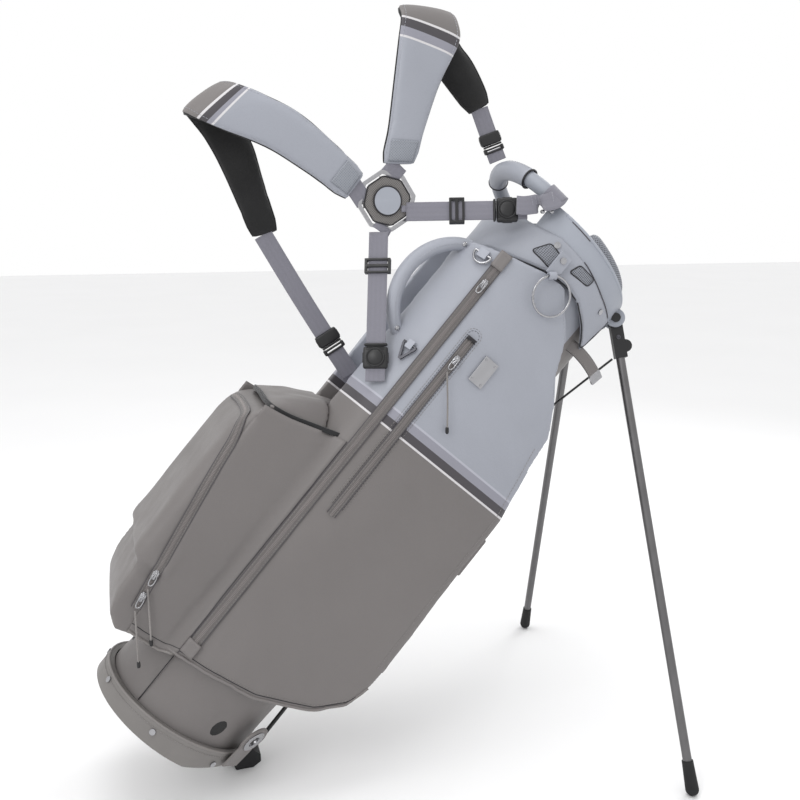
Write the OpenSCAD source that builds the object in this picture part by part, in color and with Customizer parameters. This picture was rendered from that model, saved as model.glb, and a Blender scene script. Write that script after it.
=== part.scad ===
// Golf stand bag with two fold-out legs, leaning on its foot.
// Every piece is drawn upright in the bag's own frame (z along the bag, +x towards the legs,
// y = 0 the plane of symmetry) and place() leans it, so the foot's sole is at the origin.

/* [Stance] */
// Lean of the bag from upright, degrees
lean = 41; // [38:1:43]
// Distance of the foot's sole from the bag's axis
sole_x = 138.5; // [137:0.5:140]
// Height of the foot's sole, measured along the bag
sole_z = -6.6; // [-8:0.1:-6]

/* [Body] */
// Radius of the main tube
tube_r = 108; // [105:1:109]
// Slant of the main tube towards the legs, degrees
tube_slant = 2.1; // [1.8:0.1:2.2]
// Height of the main tube's top edge
tube_top = 800; // [795:1:805]
// Thickness of the tube wall
tube_wall = 3; // [2:0.5:4]
// Outer radius of the moulded base
base_r = 116; // [115:1:118]
// Height of the moulded base at the back
base_h = 25; // [20:1:30]
// Slope of the base's front underside, degrees
base_bevel = 17; // [10:1:19]

/* [Pockets] */
// Half length of the pocket section, front to back
pocket_a = 158; // [155:1:159]
// Half width of the pocket section
pocket_b = 120; // [119:1:122]
// Forward shift of the pocket section's centre
pocket_shift = 45; // [44:1:47]
// Half width of the channel between the side pockets
channel = 88; // [86:1:89]
// Half width of the ball pocket
ball_w = 84; // [80:1:86]

/* [Top cuff] */
// Forward shift of the cuff's centre
cuff_shift = 30; // [29:1:31]
// Outer radius of the moulded cuff
cuff_r = 115; // [114:0.5:115]
// Wall of the moulded cuff
cuff_wall = 8; // [7.5:0.5:8]
// Height of the rim above the cuff's centre
rim_z = 850; // [848:1:852]
// Slope of the rim, degrees, down towards the legs
rim_slope = 9.5; // [8:0.5:11]
// Radius of the lift handle's bar
handle_r = 10.5; // [9.5:0.5:11]

/* [Legs] */
// Hinge pin: forward of the axis
lug_x = 131; // [130:1:133]
// Hinge pin: off the plane of symmetry
lug_y = 59; // [58:1:61]
// Hinge pin: height
lug_z = 816; // [814:1:818]
// Opening angle of the legs, degrees
leg_fold = 47; // [44:1:50]
// Angle of each leg's swing plane off the plane of symmetry, degrees
leg_splay = 24.8; // [22:0.2:26]
// Outer radius of the leg tube
leg_r = 6.1; // [5.5:0.1:6.5]
// Radius of the hinge pin
pin_r = 4.45; // [4.42:0.01:4.48]

/* [Harness] */
// Width of the webbing
web_w = 25; // [20:1:25]
// Thickness of the webbing
web_t = 2; // [1.5:0.5:2]
// Thickness of a shoulder pad
pad_t = 12; // [8:1:14]
// Half across the flats of the hub frame
hub_r = 37; // [34:1:38]

/* [Hidden] */

light = [0.64, 0.66, 0.71];
taupe = [0.51, 0.49, 0.48];
web_grey = [0.60, 0.59, 0.64];
black = [0.06, 0.06, 0.07];
silver = [0.80, 0.80, 0.80];
gunmetal = [0.45, 0.44, 0.44];

back_n = 3;
front_n = 4.5;
pin_hole_r = 4.5;
pin_head_r = 6.5;
touch_gap = 0.4;
plate_x = -2;
plate_z = 628;
plate_t = 1.5;
tab_x = -14;
ear_gap = 14.4;
ear_t = 5;
lug_r = 13;
foot_r = 9;
rod_x = 137;
rod_r = 3;
rod_hole_r = 3.08;
wire_r = 1.6;
yoke_z = 560;
yoke_y = 9;
wire_hold = 50;
wire_off = 12;
stub_r = 3.4;
wire_ball_r = 2.8;
// The wires stop short of the stubs, with room for the linkage to move
wire_short = 9.6;
handle_arc_r = 85;
handle_arc_x = -26.6;
handle_arc_deg = 72;
handle_slope = 8.5;
collar_z = 752;
pocket_top = 783;
hub = [-218, -20, 726];
ring_r = 26.5;
ring_wire_r = 1.6;
tab_angle = -50;
bracket_w = 13;
bracket_l = 56;
cord_r = 1.2;
cord_bow = 2;

// Height of a leg's hinge pin above the ground, and the leg's drop for each unit of length
pin_height = (sole_x - lug_x) * sin(lean) + (lug_z - sole_z) * cos(lean);
leg_drop = sin(leg_fold) * cos(leg_splay) * sin(lean) + cos(leg_fold) * cos(lean);
leg_length = (pin_height - foot_r) / leg_drop;

// Outline of the pocket section: rounder at the back than at the front
function pocket_section(a, b, steps) = [for (i = [0:steps - 1])
    let (t = 360 * i / steps, c = cos(t), s = sin(t), n = c < 0 ? back_n : front_n)
    [a * sign(c) * pow(abs(c), 2 / n), b * sign(s) * pow(abs(s), 2 / n)]];

// The bag's own frame, leaned so that the middle of the foot's sole rests at the origin
module place() {
    rotate([0, lean, 0]) translate([-sole_x, 0, -sole_z]) children();
}

// A leg's own frame at the hinge pin: x outwards in its swing plane, y along the pin
module at_lug(side) {
    translate([lug_x, side * lug_y, lug_z]) rotate([0, 0, side * leg_splay]) children();
}

// A leg's frame with z up along the open leg
module along_leg(side) {
    at_lug(side) rotate([0, -leg_fold, 0]) children();
}

// The rim's plane: z = 0 lies on the rim, centred on the cuff
module at_rim() {
    translate([cuff_shift, 0, rim_z]) rotate([0, rim_slope, 0]) children();
}

// A slab with the given side outline (x, z), between two values of y
module slab(outline, y0, y1) {
    translate([0, y1, 0]) rotate([90, 0, 0]) linear_extrude(y1 - y0) polygon(outline);
}

// A flat strip between two points, its faces towards -y and +y, turned to follow the run
module strip(p, q, width, thick) {
    d = q - p;
    translate(p) rotate([0, -atan2(d[2], norm([d[0], d[1]])), atan2(d[1], d[0])])
        translate([0, -thick / 2, -width / 2]) cube([norm(d), thick, width]);
}

// A point part of the way between two points
function between(p, q, t) = p + (q - p) * t;

// A rivet head on a round wall, at an angle round the centre (cx, 0)
module rivet_on(cx, r, angle, z, head_r) {
    translate([cx, 0, z]) rotate([0, 0, angle]) translate([r, 0, 0]) rotate([0, 90, 0])
        cylinder(h = 2, r = head_r, $fn = 24);
}

// A round bar along the main tube's slanted axis
module tube_core(r) {
    rotate([0, tube_slant, 0]) translate([0, 0, -30]) cylinder(h = 900, r = r, $fn = 96);
}

module base_cup() {
    color(taupe) difference() {
        cylinder(h = base_h + 14, r = base_r, $fn = 96);
        intersection() {
            tube_core(tube_r + touch_gap / 4);
            translate([-150, -150, 6]) cube([300, 300, 100]);
        }
        // the top edge slopes down towards the back
        translate([-base_r - 5, -150, base_h]) rotate([0, -3.5, 0]) cube([300, 300, 60]);
        // bevelled front underside
        translate([15, -150, 0]) rotate([0, -base_bevel, 0]) translate([0, 0, -60])
            cube([200, 300, 60]);
    }
}

module rivets() {
    color(silver) {
        for (a = [-160, -112, -64, 64, 112, 160]) rivet_on(0, base_r, a, 17, 4);
        for (side = [-1, 1]) {
            rivet_on(cuff_shift, cuff_r + 3.2, side * 118, 818, 4.5);
            rivet_on(cuff_shift, cuff_r + 3.2, side * 64, 795, 4);
        }
        for (x = [-7.5, 7.5], z = [-15, 15])
            translate([plate_x, face_at(plate_x) - 0.4, plate_z + z])
                rotate([0, 0, tape_turn(plate_x)]) translate([x, -plate_t, 0]) rotate([90, 0, 0])
                    cylinder(h = 0.8, r = 1.6, $fn = 20);
        translate([tab_x, -pocket_b - 3.6, 803]) rotate([90, 0, 0])
            cylinder(h = 1.6, r = 4.5, $fn = 24);
    }
}

module body_tube() {
    color(taupe) difference() {
        intersection() {
            tube_core(tube_r);
            translate([-200, -150, 6.2]) cube([400, 300, tube_top - 6.2]);
        }
        intersection() {
            tube_core(tube_r - tube_wall);
            translate([-200, -150, 9]) cube([400, 300, tube_top]);
        }
        // cut to the base's bevel, with room for its floor
        translate([15, -150, 6]) rotate([0, -base_bevel, 0]) translate([0, 0, -60])
            cube([200, 300, 60]);
    }
}

// Side outline of a side pocket: bottom edge, front edge, then the slanted top edge
pocket_outline = [[-125, 100], [-62, 110], [30, 118], [108, 143], [145, 172], [156, 195],
    [161, 222], [161, 270], [158, 400], [158, 493], [142, 574], [136, 622], [104, 668], [84, 692],
    [63, 737], [15, 783], [-18, 780], [-125, collar_z]];

module pocket_block(side) {
    difference() {
        intersection() {
            linear_extrude(pocket_top) translate([pocket_shift, 0])
                polygon(pocket_section(pocket_a, pocket_b, 64));
            slab(pocket_outline, side > 0 ? 30 : -pocket_b - 5, side > 0 ? pocket_b + 5 : -30);
        }
        tube_core(tube_r + touch_gap / 4);
        translate([60, -channel, 0]) cube([200, 2 * channel, 900]);
    }
}

module side_pocket_right() {
    color(light) pocket_block(-1);
}

module side_pocket_left() {
    color(light) pocket_block(1);
}

// Side outline of the ball pocket, up to the slanted top edge
ball_outline = [[-60, 96], [-128, 98], [-160, 90], [-178, 106], [-188, 135], [-192, 178],
    [-199, 186], [-205, 290], [-204, 375], [-198, 398], [-188, 412], [-178, 422], [-60, 447]];

// Plan section of the ball pocket: a crowned back with round corners
module ball_section(inset) {
    round_r = 22;
    hull() for (side = [-1, 1]) {
        translate([-182, side * (ball_w - round_r - inset)]) circle(r = round_r, $fn = 32);
        translate([-70, side * (ball_w - inset) - 1]) square([10, 2]);
    }
}

module ball_pocket() {
    color(taupe) difference() {
        intersection() {
            slab(ball_outline, -ball_w - 5, ball_w + 5);
            linear_extrude(500) ball_section(0);
        }
        tube_core(tube_r + touch_gap / 4);
        pocket_room(touch_gap / 4);
    }
}

// The slack pouch above the ball pocket: flat at its sides and crowned in the middle
pouch_base = [[-60, 447.6], [-178, 422.6], [-181, 426], [-60, 452]];
pouch_crown = [[-60, 447.6], [-178, 422.6], [-181, 430], [-150, 453], [-112, 473], [-60, 489]];

module top_pocket() {
    color(taupe) difference() {
        hull() {
            slab(pouch_base, 10 - ball_w, ball_w - 10);
            slab(pouch_crown, -44, 44);
        }
        tube_core(tube_r + touch_gap / 4);
        pocket_room(touch_gap / 4);
    }
}

// y of the right pocket's face at a given x
function face_at(x) = let (n = x < pocket_shift ? back_n : front_n)
    -pocket_b * pow(1 - pow(abs(x - pocket_shift) / pocket_a, n), 1 / n);

module tape(x, z0, z1, width) {
    translate([x, face_at(x) - 0.8, z0]) rotate([0, 0, tape_turn(x)])
        translate([-width / 2, -1.2, 0]) cube([width, 1.2, z1 - z0]);
}

function tape_turn(x) = atan2(face_at(x + 4) - face_at(x - 4), 8);

long_zip = [-71, 130, 752];
short_zip = [-41, 366, 650];
// Foot of the ball pocket's zip (x, z), its length, and its lean back from the bag's length
ball_zip = [-154.9, 129];
ball_zip_l = 272;
ball_zip_tilt = 9.4;

module at_ball_zip(along, off) {
    translate([ball_zip[0], -ball_w - off, ball_zip[1]]) rotate([0, -ball_zip_tilt, 0])
        translate([0, 0, along]) children();
}

module zip_tapes() {
    color(taupe) {
        tape(long_zip[0], long_zip[1], long_zip[2], 16);
        tape(short_zip[0], short_zip[1], short_zip[2], 12);
        at_ball_zip(0, 0.8) translate([-6, -1.2, 0]) cube([12, 1.2, ball_zip_l - 30]);
    }
}

module ear_plate(side, y0) {
    at_lug(side) translate([0, y0 + ear_t, 0]) rotate([90, 0, 0]) linear_extrude(ear_t)
        union() {
            circle(r = lug_r, $fn = 48);
            translate([-36, -lug_r]) square([36, 2 * lug_r]);
        }
}

module top_cuff() {
    color(light) difference() {
        union() {
            difference() {
                intersection() {
                    translate([cuff_shift, 0, tube_top]) cylinder(h = 120, r = cuff_r, $fn = 96);
                    at_rim() translate([-200, -200, -200]) cube([400, 400, 200]);
                }
                // lowered back edge under the lift handle
                translate([-160, -76, 826]) cube([112, 152, 60]);
            }
            for (side = [-1, 1], y0 = [ear_gap / 2, -ear_gap / 2 - ear_t]) ear_plate(side, y0);
            lift_bar(handle_r, handle_arc_deg);
        }
        // the well's mouth
        translate([cuff_shift, 0, tube_top - 40]) cylinder(h = 150, r = cuff_r - cuff_wall, $fn = 96);
        for (side = [-1, 1]) at_lug(side) {
            rotate([90, 0, 0]) cylinder(h = 60, r = pin_hole_r, center = true, $fn = 48);
            // room for the bracket between the ears
            rotate([90, 0, 0]) cylinder(h = ear_gap, r = 30, center = true, $fn = 48);
            // seats for the pins' heads
            for (end = [-1, 1]) rotate([90, 0, 0])
                translate([0, 0, end * (ear_gap / 2 + ear_t + 4)])
                    cylinder(h = 8, r = pin_head_r + 0.5, center = true, $fn = 48);
        }
    }
}

module lift_bar(r, half_deg) {
    translate([handle_arc_x, 0, rim_z + 12]) rotate([0, handle_slope, 0])
        rotate([0, 0, 180 - half_deg]) rotate_extrude(angle = 2 * half_deg, $fn = 96)
            translate([handle_arc_r, 0]) circle(r = r, $fn = 40);
}

module handle_wrap() {
    color(light) difference() {
        lift_bar(handle_r + 2.5, 36);
        lift_bar(handle_r, handle_arc_deg);
    }
}

cover_outline = [[-130, collar_z + 0.6], [-10, 783.6], [16, 784], [40, 779.5], [68, 764], [98, 742],
    [108, 782], [112, 800], [66, 810], [20, 823], [-25, 830], [-60, 824], [-130, 812]];

module cuff_cover() {
    color(light) difference() {
        intersection() {
            translate([cuff_shift, 0, 700]) cylinder(h = 200, r = cuff_r + 3, $fn = 96);
            slab(cover_outline, -150, 150);
        }
        translate([cuff_shift, 0, 600]) cylinder(h = 400, r = cuff_r, $fn = 96);
    }
}

module top_divider() {
    bar_top = 846;
    color(light) intersection() {
        translate([cuff_shift, 0, 0]) cylinder(h = 900, r = cuff_r - cuff_wall - 0.1, $fn = 96);
        at_rim() translate([-200, -200, -200]) cube([400, 400, 188]);
        translate([0, 0, 810]) union() {
            translate([-150, -4, 0]) cube([300, 8, bar_top - 810]);
            for (x = [-36, 44]) translate([x, -150, 0]) cube([8, 300, bar_top - 810]);
        }
    }
}

module rim_pad() {
    color(light) at_rim() translate([0, 0, 5]) rotate([0, 0, -105])
        rotate_extrude(angle = 210, $fn = 96) translate([cuff_r - cuff_wall - 13.5, 0])
            circle(r = 13, $fn = 32);
}

module stay_rods() {
    color(black) rotate([0, tube_slant, 0]) for (side = [-1, 1]) translate([-30, side * 97.3, 8.4])
        cylinder(h = tube_top - 20, r = 3, $fn = 24);
}

module carry_handle() {
    r = 84;
    half = 66;
    color(web_grey) difference() {
        translate([-64, -50, 676]) rotate([90, 0, 0]) rotate([0, 0, 180 - half])
            rotate_extrude(angle = 2 * half, $fn = 64) translate([r, 0]) circle(r = 9, $fn = 24);
        tube_core(tube_r + touch_gap);
        pocket_room(touch_gap);
        translate([cuff_shift, 0, 700]) cylinder(h = 300, r = cuff_r + 3 + touch_gap, $fn = 96);
    }
}

// The space that the two side pockets take, with a little room
module pocket_room(room) {
    for (side = [-1, 1]) translate([pocket_shift, 0, 90]) linear_extrude(710) intersection() {
        polygon(pocket_section(pocket_a + room, pocket_b + room, 64));
        translate([-300, side > 0 ? 30 - room : -230 + room]) square([600, 200]);
    }
}

module name_plate() {
    color(silver) translate([plate_x, face_at(plate_x) - 0.4, plate_z])
        rotate([0, 0, tape_turn(plate_x)]) rotate([90, 0, 0])
            linear_extrude(plate_t) square([22, 38], center = true);
}

module ring_tab() {
    color(light) translate([tab_x, -pocket_b - 0.6, 0]) difference() {
        union() {
            translate([-9, -3, 779]) cube([18, 3, 33]);
            // the loop that holds the ring, level while the bag leans
            translate([0, -5, 779]) rotate([0, 90 - lean, 0])
                cylinder(h = 10, r = 5, center = true, $fn = 32);
        }
        translate([0, -5, 779]) rotate([0, 90 - lean, 0])
            cylinder(h = 50, r = 2.6, center = true, $fn = 32);
    }
}

// A ring that hangs straight down from its tab while the bag leans
module towel_ring() {
    color(silver) translate([tab_x, -pocket_b - 5.6, 779]) rotate([0, -lean, 0])
        translate([0, 0, -ring_r]) rotate([90, 0, 0])
            rotate_extrude($fn = 64) translate([ring_r, 0]) circle(r = ring_wire_r, $fn = 16);
}

// On the right pocket's face at a given x and height, x along the face
module on_face(x, z) {
    translate([x, face_at(x), z]) rotate([0, 0, tape_turn(x)]) children();
}

// A fabric loop of the given width, with a bore along x for a ring's bar
module ring_loop(x, z, width) {
    color(light) on_face(x, z) difference() {
        translate([-width / 2, -5.4, -6]) cube([width, 5, 12]);
        translate([-width, -3, 0]) rotate([0, 90, 0]) cylinder(h = 2 * width, r = 1.9, $fn = 24);
    }
}

module side_ring_tab() {
    ring_loop(-90, 747, 14);
}

module side_d_ring() {
    color(silver) on_face(-90, 747) translate([0, -3, 0]) {
        rotate([0, 90, 0]) cylinder(h = 26, r = 1.6, center = true, $fn = 20);
        rotate([90, 0, 0]) rotate([0, 0, 180]) rotate_extrude(angle = 180, $fn = 48)
            translate([13, 0]) circle(r = 1.6, $fn = 20);
    }
}

module triangle_tab() {
    ring_loop(-90, 597, 10);
}

module triangle_ring() {
    color(gunmetal) on_face(-90, 597) translate([0, -3, 0]) {
        rotate([0, 90, 0]) cylinder(h = 22, r = 1.5, center = true, $fn = 20);
        rotate([90, 0, 0]) linear_extrude(2.6, center = true) difference() {
            polygon([[-11, 0], [-11, -3], [-2, -23], [2, -23], [11, -3], [11, 0]]);
            polygon([[-8, 1], [-8, -2.5], [0, -19.5], [8, -2.5], [8, 1]]);
        }
    }
}

module at_base_tab() {
    rotate([0, 0, tab_angle]) translate([base_r + 0.3, 0, 0]) rotate([0, 6, 0]) children();
}

module base_tab() {
    color(taupe) at_base_tab() rotate([0, 90, 0]) linear_extrude(3) difference() {
        union() {
            translate([-66, -17]) square([46, 34]);
            translate([-66, 0]) circle(r = 22, $fn = 48);
        }
        translate([-66, 0]) circle(r = 12, $fn = 48);
    }
}

module eyelet() {
    color(silver) at_base_tab() translate([-0.6, 0, 66]) rotate([0, 90, 0]) difference() {
        union() {
            cylinder(h = 4.2, r = 12, $fn = 48);
            translate([0, 0, 3.6]) cylinder(h = 1.4, r = 16, $fn = 48);
        }
        translate([0, 0, -1]) cylinder(h = 8, r = 8, $fn = 48);
    }
}

module side_tab() {
    color(taupe) slab([[158.4, 399], [163, 401], [163, 460], [158.4, 462]], -108, -91);
}

// A loose strap that holds the folded legs, shown unfastened
module leg_strap() {
    color(taupe) slab([[92, 741], [93, 757], [144, 742], [140, 725]], -90, -87);
}

module leg_strap_tip() {
    color(silver) slab([[140.3, 725], [144.3, 742], [156, 737], [152, 719]], -91, -86);
}

module rod_guide() {
    color(black) difference() {
        translate([tube_r - 4, -9, 330]) cube([rod_x - tube_r + 12, 18, 16]);
        tube_core(tube_r + touch_gap / 4);
        translate([rod_x, 0, 300]) cylinder(h = 80, r = rod_hole_r, $fn = 32);
    }
}

module hinge_pins() {
    color(black) for (side = [-1, 1]) at_lug(side) rotate([90, 0, 0]) {
        cylinder(h = ear_gap + 2 * ear_t, r = pin_r, center = true, $fn = 48);
        for (end = [-1, 1]) translate([0, 0, end * (ear_gap / 2 + ear_t + 1)])
            cylinder(h = 2, r = pin_head_r, center = true, $fn = 48);
    }
}

module leg_bracket(side) {
    color(black) along_leg(side) difference() {
        union() {
            rotate([90, 0, 0]) cylinder(h = bracket_w, r = 10, center = true, $fn = 48);
            translate([-7.8, -bracket_w / 2, -bracket_l]) cube([17, bracket_w, bracket_l]);
            translate([9, 0, -40]) rotate([90, 0, 0])
                cylinder(h = bracket_w - 4, r = 9, center = true, $fn = 32);
            // stub on the inner side, that the push wire hooks on to
            translate([0, -side * wire_off, -wire_hold]) rotate([90, 0, 0])
                cylinder(h = 2 * wire_off - 4, r = stub_r, center = true, $fn = 32);
        }
        rotate([90, 0, 0]) cylinder(h = 40, r = pin_hole_r, center = true, $fn = 48);
        translate([0, 0, -bracket_l - 1]) cylinder(h = bracket_l - 15, r = leg_r, $fn = 32);
    }
}

module leg_tube(side) {
    color(gunmetal) along_leg(side) translate([0, 0, -leg_length + 20])
        cylinder(h = leg_length - 20 - 16, r = leg_r, $fn = 32);
}

module leg_foot(side) {
    color(black) along_leg(side) difference() {
        union() {
            translate([0, 0, -leg_length]) sphere(r = foot_r, $fn = 32);
            translate([0, 0, -leg_length]) cylinder(h = 38, r1 = foot_r, r2 = 7.6, $fn = 32);
        }
        translate([0, 0, -leg_length + 20]) cylinder(h = 60, r = leg_r, $fn = 32);
    }
}

module leg_right_bracket() { leg_bracket(-1); }
module leg_right_tube() { leg_tube(-1); }
module leg_right_foot() { leg_foot(-1); }
module leg_left_bracket() { leg_bracket(1); }
module leg_left_tube() { leg_tube(1); }
module leg_left_foot() { leg_foot(1); }

module actuator_rod() {
    color(black) {
        translate([rod_x, 0, 10]) cylinder(h = yoke_z - 18, r = rod_r, $fn = 32);
        difference() {
            translate([rod_x - 6, -16, yoke_z - 12]) cube([12, 32, 12]);
            // cups for the wires' ball ends
            for (side = [-1, 1]) translate([rod_x, side * yoke_y, yoke_z - 5])
                cylinder(h = 20, r = wire_ball_r + 1.2, $fn = 32);
        }
    }
}

module kicker_foot() {
    color(black) difference() {
        slab([[122, 2], [124, 16], [131, 22], [144, 22], [151, 14],
            [sole_x + 9, sole_z + 9 * tan(lean)], [sole_x - 9, sole_z - 9 * tan(lean)],
            [124, -12]], -17, 17);
        translate([rod_x, 0, 10]) cylinder(h = 60, r = rod_r, $fn = 32);
    }
}

// Where a push wire meets the stub on the open leg's bracket
function wire_end(side) = let (s = wire_hold * sin(leg_fold))
    [lug_x + s * cos(leg_splay) + wire_off * sin(leg_splay),
     side * (lug_y + s * sin(leg_splay) - wire_off * cos(leg_splay)),
     lug_z - wire_hold * cos(leg_fold)];

module push_wire(side) {
    p = [rod_x, side * yoke_y, yoke_z];
    d = wire_end(side) - p;
    color(black) translate(p) {
        rotate([0, acos(d[2] / norm(d)), atan2(d[1], d[0])])
            cylinder(h = norm(d) - wire_short, r = wire_r, $fn = 20);
        sphere(r = wire_ball_r, $fn = 32);
    }
}

module push_wire_right() { push_wire(-1); }
module push_wire_left() { push_wire(1); }

// A zip slider with its pull hanging along the tape
module slider() {
    color(silver) {
        translate([-5, -3.2, -8]) cube([10, 3, 16]);
        translate([-1.5, -6.2, -4]) cube([3, 3, 8]);
        translate([0, -4.6, -8]) rotate([90, 0, 0]) linear_extrude(2, center = true)
            difference() {
                polygon([[-4, 6], [4, 6], [5, -9], [0, -14], [-5, -9]]);
                polygon([[-2, 2], [2, 2], [2.8, -8], [0, -10.5], [-2.8, -8]]);
            }
    }
}

module face_slider(zip, below) {
    translate([zip[0], face_at(zip[0]) - 2.6, zip[2] - below]) rotate([0, 0, tape_turn(zip[0])])
        slider();
}

module long_zip_slider() { face_slider(long_zip, 34); }
module short_zip_slider() { face_slider(short_zip, 30); }
module ball_zip_slider_upper() { at_ball_zip(51.7, 2.2) slider(); }
module ball_zip_slider_lower() { at_ball_zip(20.3, 2.2) slider(); }

// Where each cord leaves its slider's pull
short_cord = [-42, -120.4, 597.8];
upper_cord = [-159.6, -91, 158.1];
lower_cord = [-154.5, -91, 127.1];
cord_drop = [sin(lean), 0, -cos(lean)];

// A point on a cord that hangs straight down, bowed and drifting a little off the face
function cord_point(start, length, drift, t) =
    start + cord_drop * length * t - [0, drift * t + cord_bow * sin(180 * t), 0];

// A round bar with eight sides along a list of points that run nearly straight
module cord_bar(points) {
    last = len(points) - 1;
    sides = [[0, 1, 0], cross(cord_drop, [0, 1, 0])];
    ring = [for (k = [0:7]) cord_r * (cos(45 * k) * sides[0] + sin(45 * k) * sides[1])];
    polyhedron([for (p = points, r = ring) p + r], concat(
        [[for (k = [0:7]) k], [for (k = [7:-1:0]) 8 * last + k]],
        [for (i = [0:last - 1], k = [0:7]) let (n = (k + 1) % 8)
            [8 * i + k, 8 * i + 8 + k, 8 * i + 8 + n, 8 * i + n]]));
}

module pull_cord(start, length, drift) {
    steps = 12;
    color(black) cord_bar([for (i = [0:steps]) cord_point(start, length, drift, i / steps)]);
}

module short_zip_cord() { pull_cord(short_cord, 78, 2.5); }
module ball_zip_cord_upper() { pull_cord(upper_cord, 74, 0); }
module ball_zip_cord_lower() { pull_cord(lower_cord, 74, 0); }

// The hub's frame, upright in the leaned bag
module at_hub() {
    translate(hub) rotate([0, -lean, 0]) rotate([90, 0, 0]) children();
}

module octagon(r) {
    polygon([for (i = [0:7]) r / cos(22.5) * [cos(45 * i + 10), sin(45 * i + 10)]]);
}

module hub_frame() {
    color(silver) at_hub() linear_extrude(4, center = true) difference() {
        octagon(hub_r);
        octagon(hub_r - 5);
    }
}

module hub_plate() {
    color(taupe) at_hub() difference() {
        linear_extrude(6, center = true) union() {
            octagon(hub_r - 8);
            for (i = [0:3]) rotate(90 * i + 10) translate([-5, -4]) square([hub_r, 8]);
        }
        linear_extrude(4.4, center = true) difference() {
            octagon(hub_r + 12);
            octagon(hub_r - 5.2);
        }
    }
}

module hub_disc() {
    color(light) at_hub() translate([0, 0, 3]) cylinder(h = 2.5, r = 18, $fn = 64);
}

// Side outlines of the harness pieces, (x, z)
lower_front = [[-473, 643], [-458, 708], [-375, 733], [-322, 736], [-266, 732], [-263, 688],
    [-328, 680], [-375, 671], [-454, 644]];
lower_back = [[-472, 645], [-458, 700], [-387, 672], [-359, 655], [-293, 609], [-314, 579],
    [-344, 592], [-414, 628]];
upper_front = [[-359, 924], [-313, 976], [-282, 958], [-272, 942], [-263, 891], [-219, 786],
    [-253, 756], [-311, 846]];
upper_back = [[-340, 930], [-313, 968], [-245, 966], [-180, 936], [-192, 903], [-255, 909]];

front_y = -20;
back_y = 34;

module lower_pad_front() {
    color(light) slab(lower_front, front_y - pad_t / 2, front_y + pad_t / 2);
}

module lower_pad_back() {
    color(black) slab(lower_back, back_y - pad_t / 2, back_y + pad_t / 2);
}

module upper_pad_front() {
    color(light) slab(upper_front, front_y - pad_t / 2, front_y + pad_t / 2);
}

module upper_pad_back() {
    color(black) slab(upper_back, back_y - pad_t / 2, back_y + pad_t / 2);
}

// Each run of webbing is a straight line that a buckle cuts in two:
// start, end, and where its buckle starts and stops as distances along it
lower_pad_run = [[-300.5, 33.7, 590], [-97, 12, 522], 145, 176];
upper_pad_run = [[-183.5, 33.4, 918], [-122, 24, 884], 30, 58];
body_run = [[-201, -24, 688], [-98, -88, 532], 148, 182];
cuff_run = [[-190, -26, 732], [-70, -84, 840], 113, 146];

function along_run(run, s) = between(run[0], run[1], s / norm(run[1] - run[0]));

module webbing(run) {
    color(web_grey) {
        strip(run[0], along_run(run, run[2] - 0.2), web_w, web_t);
        strip(along_run(run, run[3] + 0.2), run[1], web_w, web_t);
    }
}

module buckle(run, width) {
    strip(along_run(run, run[2]), along_run(run, run[3]), width, 10);
}

module lower_pad_webbing() { webbing(lower_pad_run); }
module upper_pad_webbing() { webbing(upper_pad_run); }
module body_webbing() { webbing(body_run); }
module cuff_webbing() { webbing(cuff_run); }

module pad_buckles() {
    color(black) {
        buckle(lower_pad_run, 32);
        buckle(upper_pad_run, 30);
    }
}

module magnetic_buckles() {
    color(black) {
        buckle(body_run, 32);
        buckle(cuff_run, 32);
    }
}

// A three-bar adjuster threaded on a run of webbing
module ladder(run, s) {
    p = along_run(run, s);
    d = run[1] - run[0];
    translate(p) rotate([0, -atan2(d[2], norm([d[0], d[1]])), atan2(d[1], d[0])])
        difference() {
            translate([-10, -4, -17]) cube([20, 8, 34]);
            for (x = [-7, 2]) translate([x, -5, -13.5]) cube([5, 10, 27]);
            translate([-11, -web_t / 2 - 0.2, -web_w / 2 - 0.3])
                cube([22, web_t + 0.4, web_w + 0.6]);
        }
}

module web_adjusters() {
    color(black) {
        ladder(body_run, 46);
        ladder(cuff_run, 66);
    }
}

place() base_cup();
place() rivets();
place() body_tube();
place() side_pocket_right();
place() side_pocket_left();
place() ball_pocket();
place() top_pocket();
place() zip_tapes();
place() top_cuff();
place() handle_wrap();
place() cuff_cover();
place() top_divider();
place() rim_pad();
place() stay_rods();
place() carry_handle();
place() name_plate();
place() ring_tab();
place() towel_ring();
place() side_ring_tab();
place() side_d_ring();
place() triangle_tab();
place() triangle_ring();
place() base_tab();
place() eyelet();
place() side_tab();
place() leg_strap();
place() leg_strap_tip();
place() rod_guide();
place() hinge_pins();
place() leg_right_bracket();
place() leg_right_tube();
place() leg_right_foot();
place() leg_left_bracket();
place() leg_left_tube();
place() leg_left_foot();
place() actuator_rod();
place() kicker_foot();
place() push_wire_right();
place() push_wire_left();
place() long_zip_slider();
place() short_zip_slider();
place() ball_zip_slider_upper();
place() ball_zip_slider_lower();
place() short_zip_cord();
place() ball_zip_cord_upper();
place() ball_zip_cord_lower();
place() hub_frame();
place() hub_plate();
place() hub_disc();
place() lower_pad_front();
place() lower_pad_back();
place() upper_pad_front();
place() upper_pad_back();
place() lower_pad_webbing();
place() upper_pad_webbing();
place() body_webbing();
place() cuff_webbing();
place() pad_buckles();
place() magnetic_buckles();
place() web_adjusters();
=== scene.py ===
from functools import reduce
from math import copysign, cos, degrees, exp, pi, radians, sin, sqrt, tan, tanh, tau

import bmesh
import bpy
from mathutils import Matrix, Vector, noise
from mathutils.bvhtree import BVHTree


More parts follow.
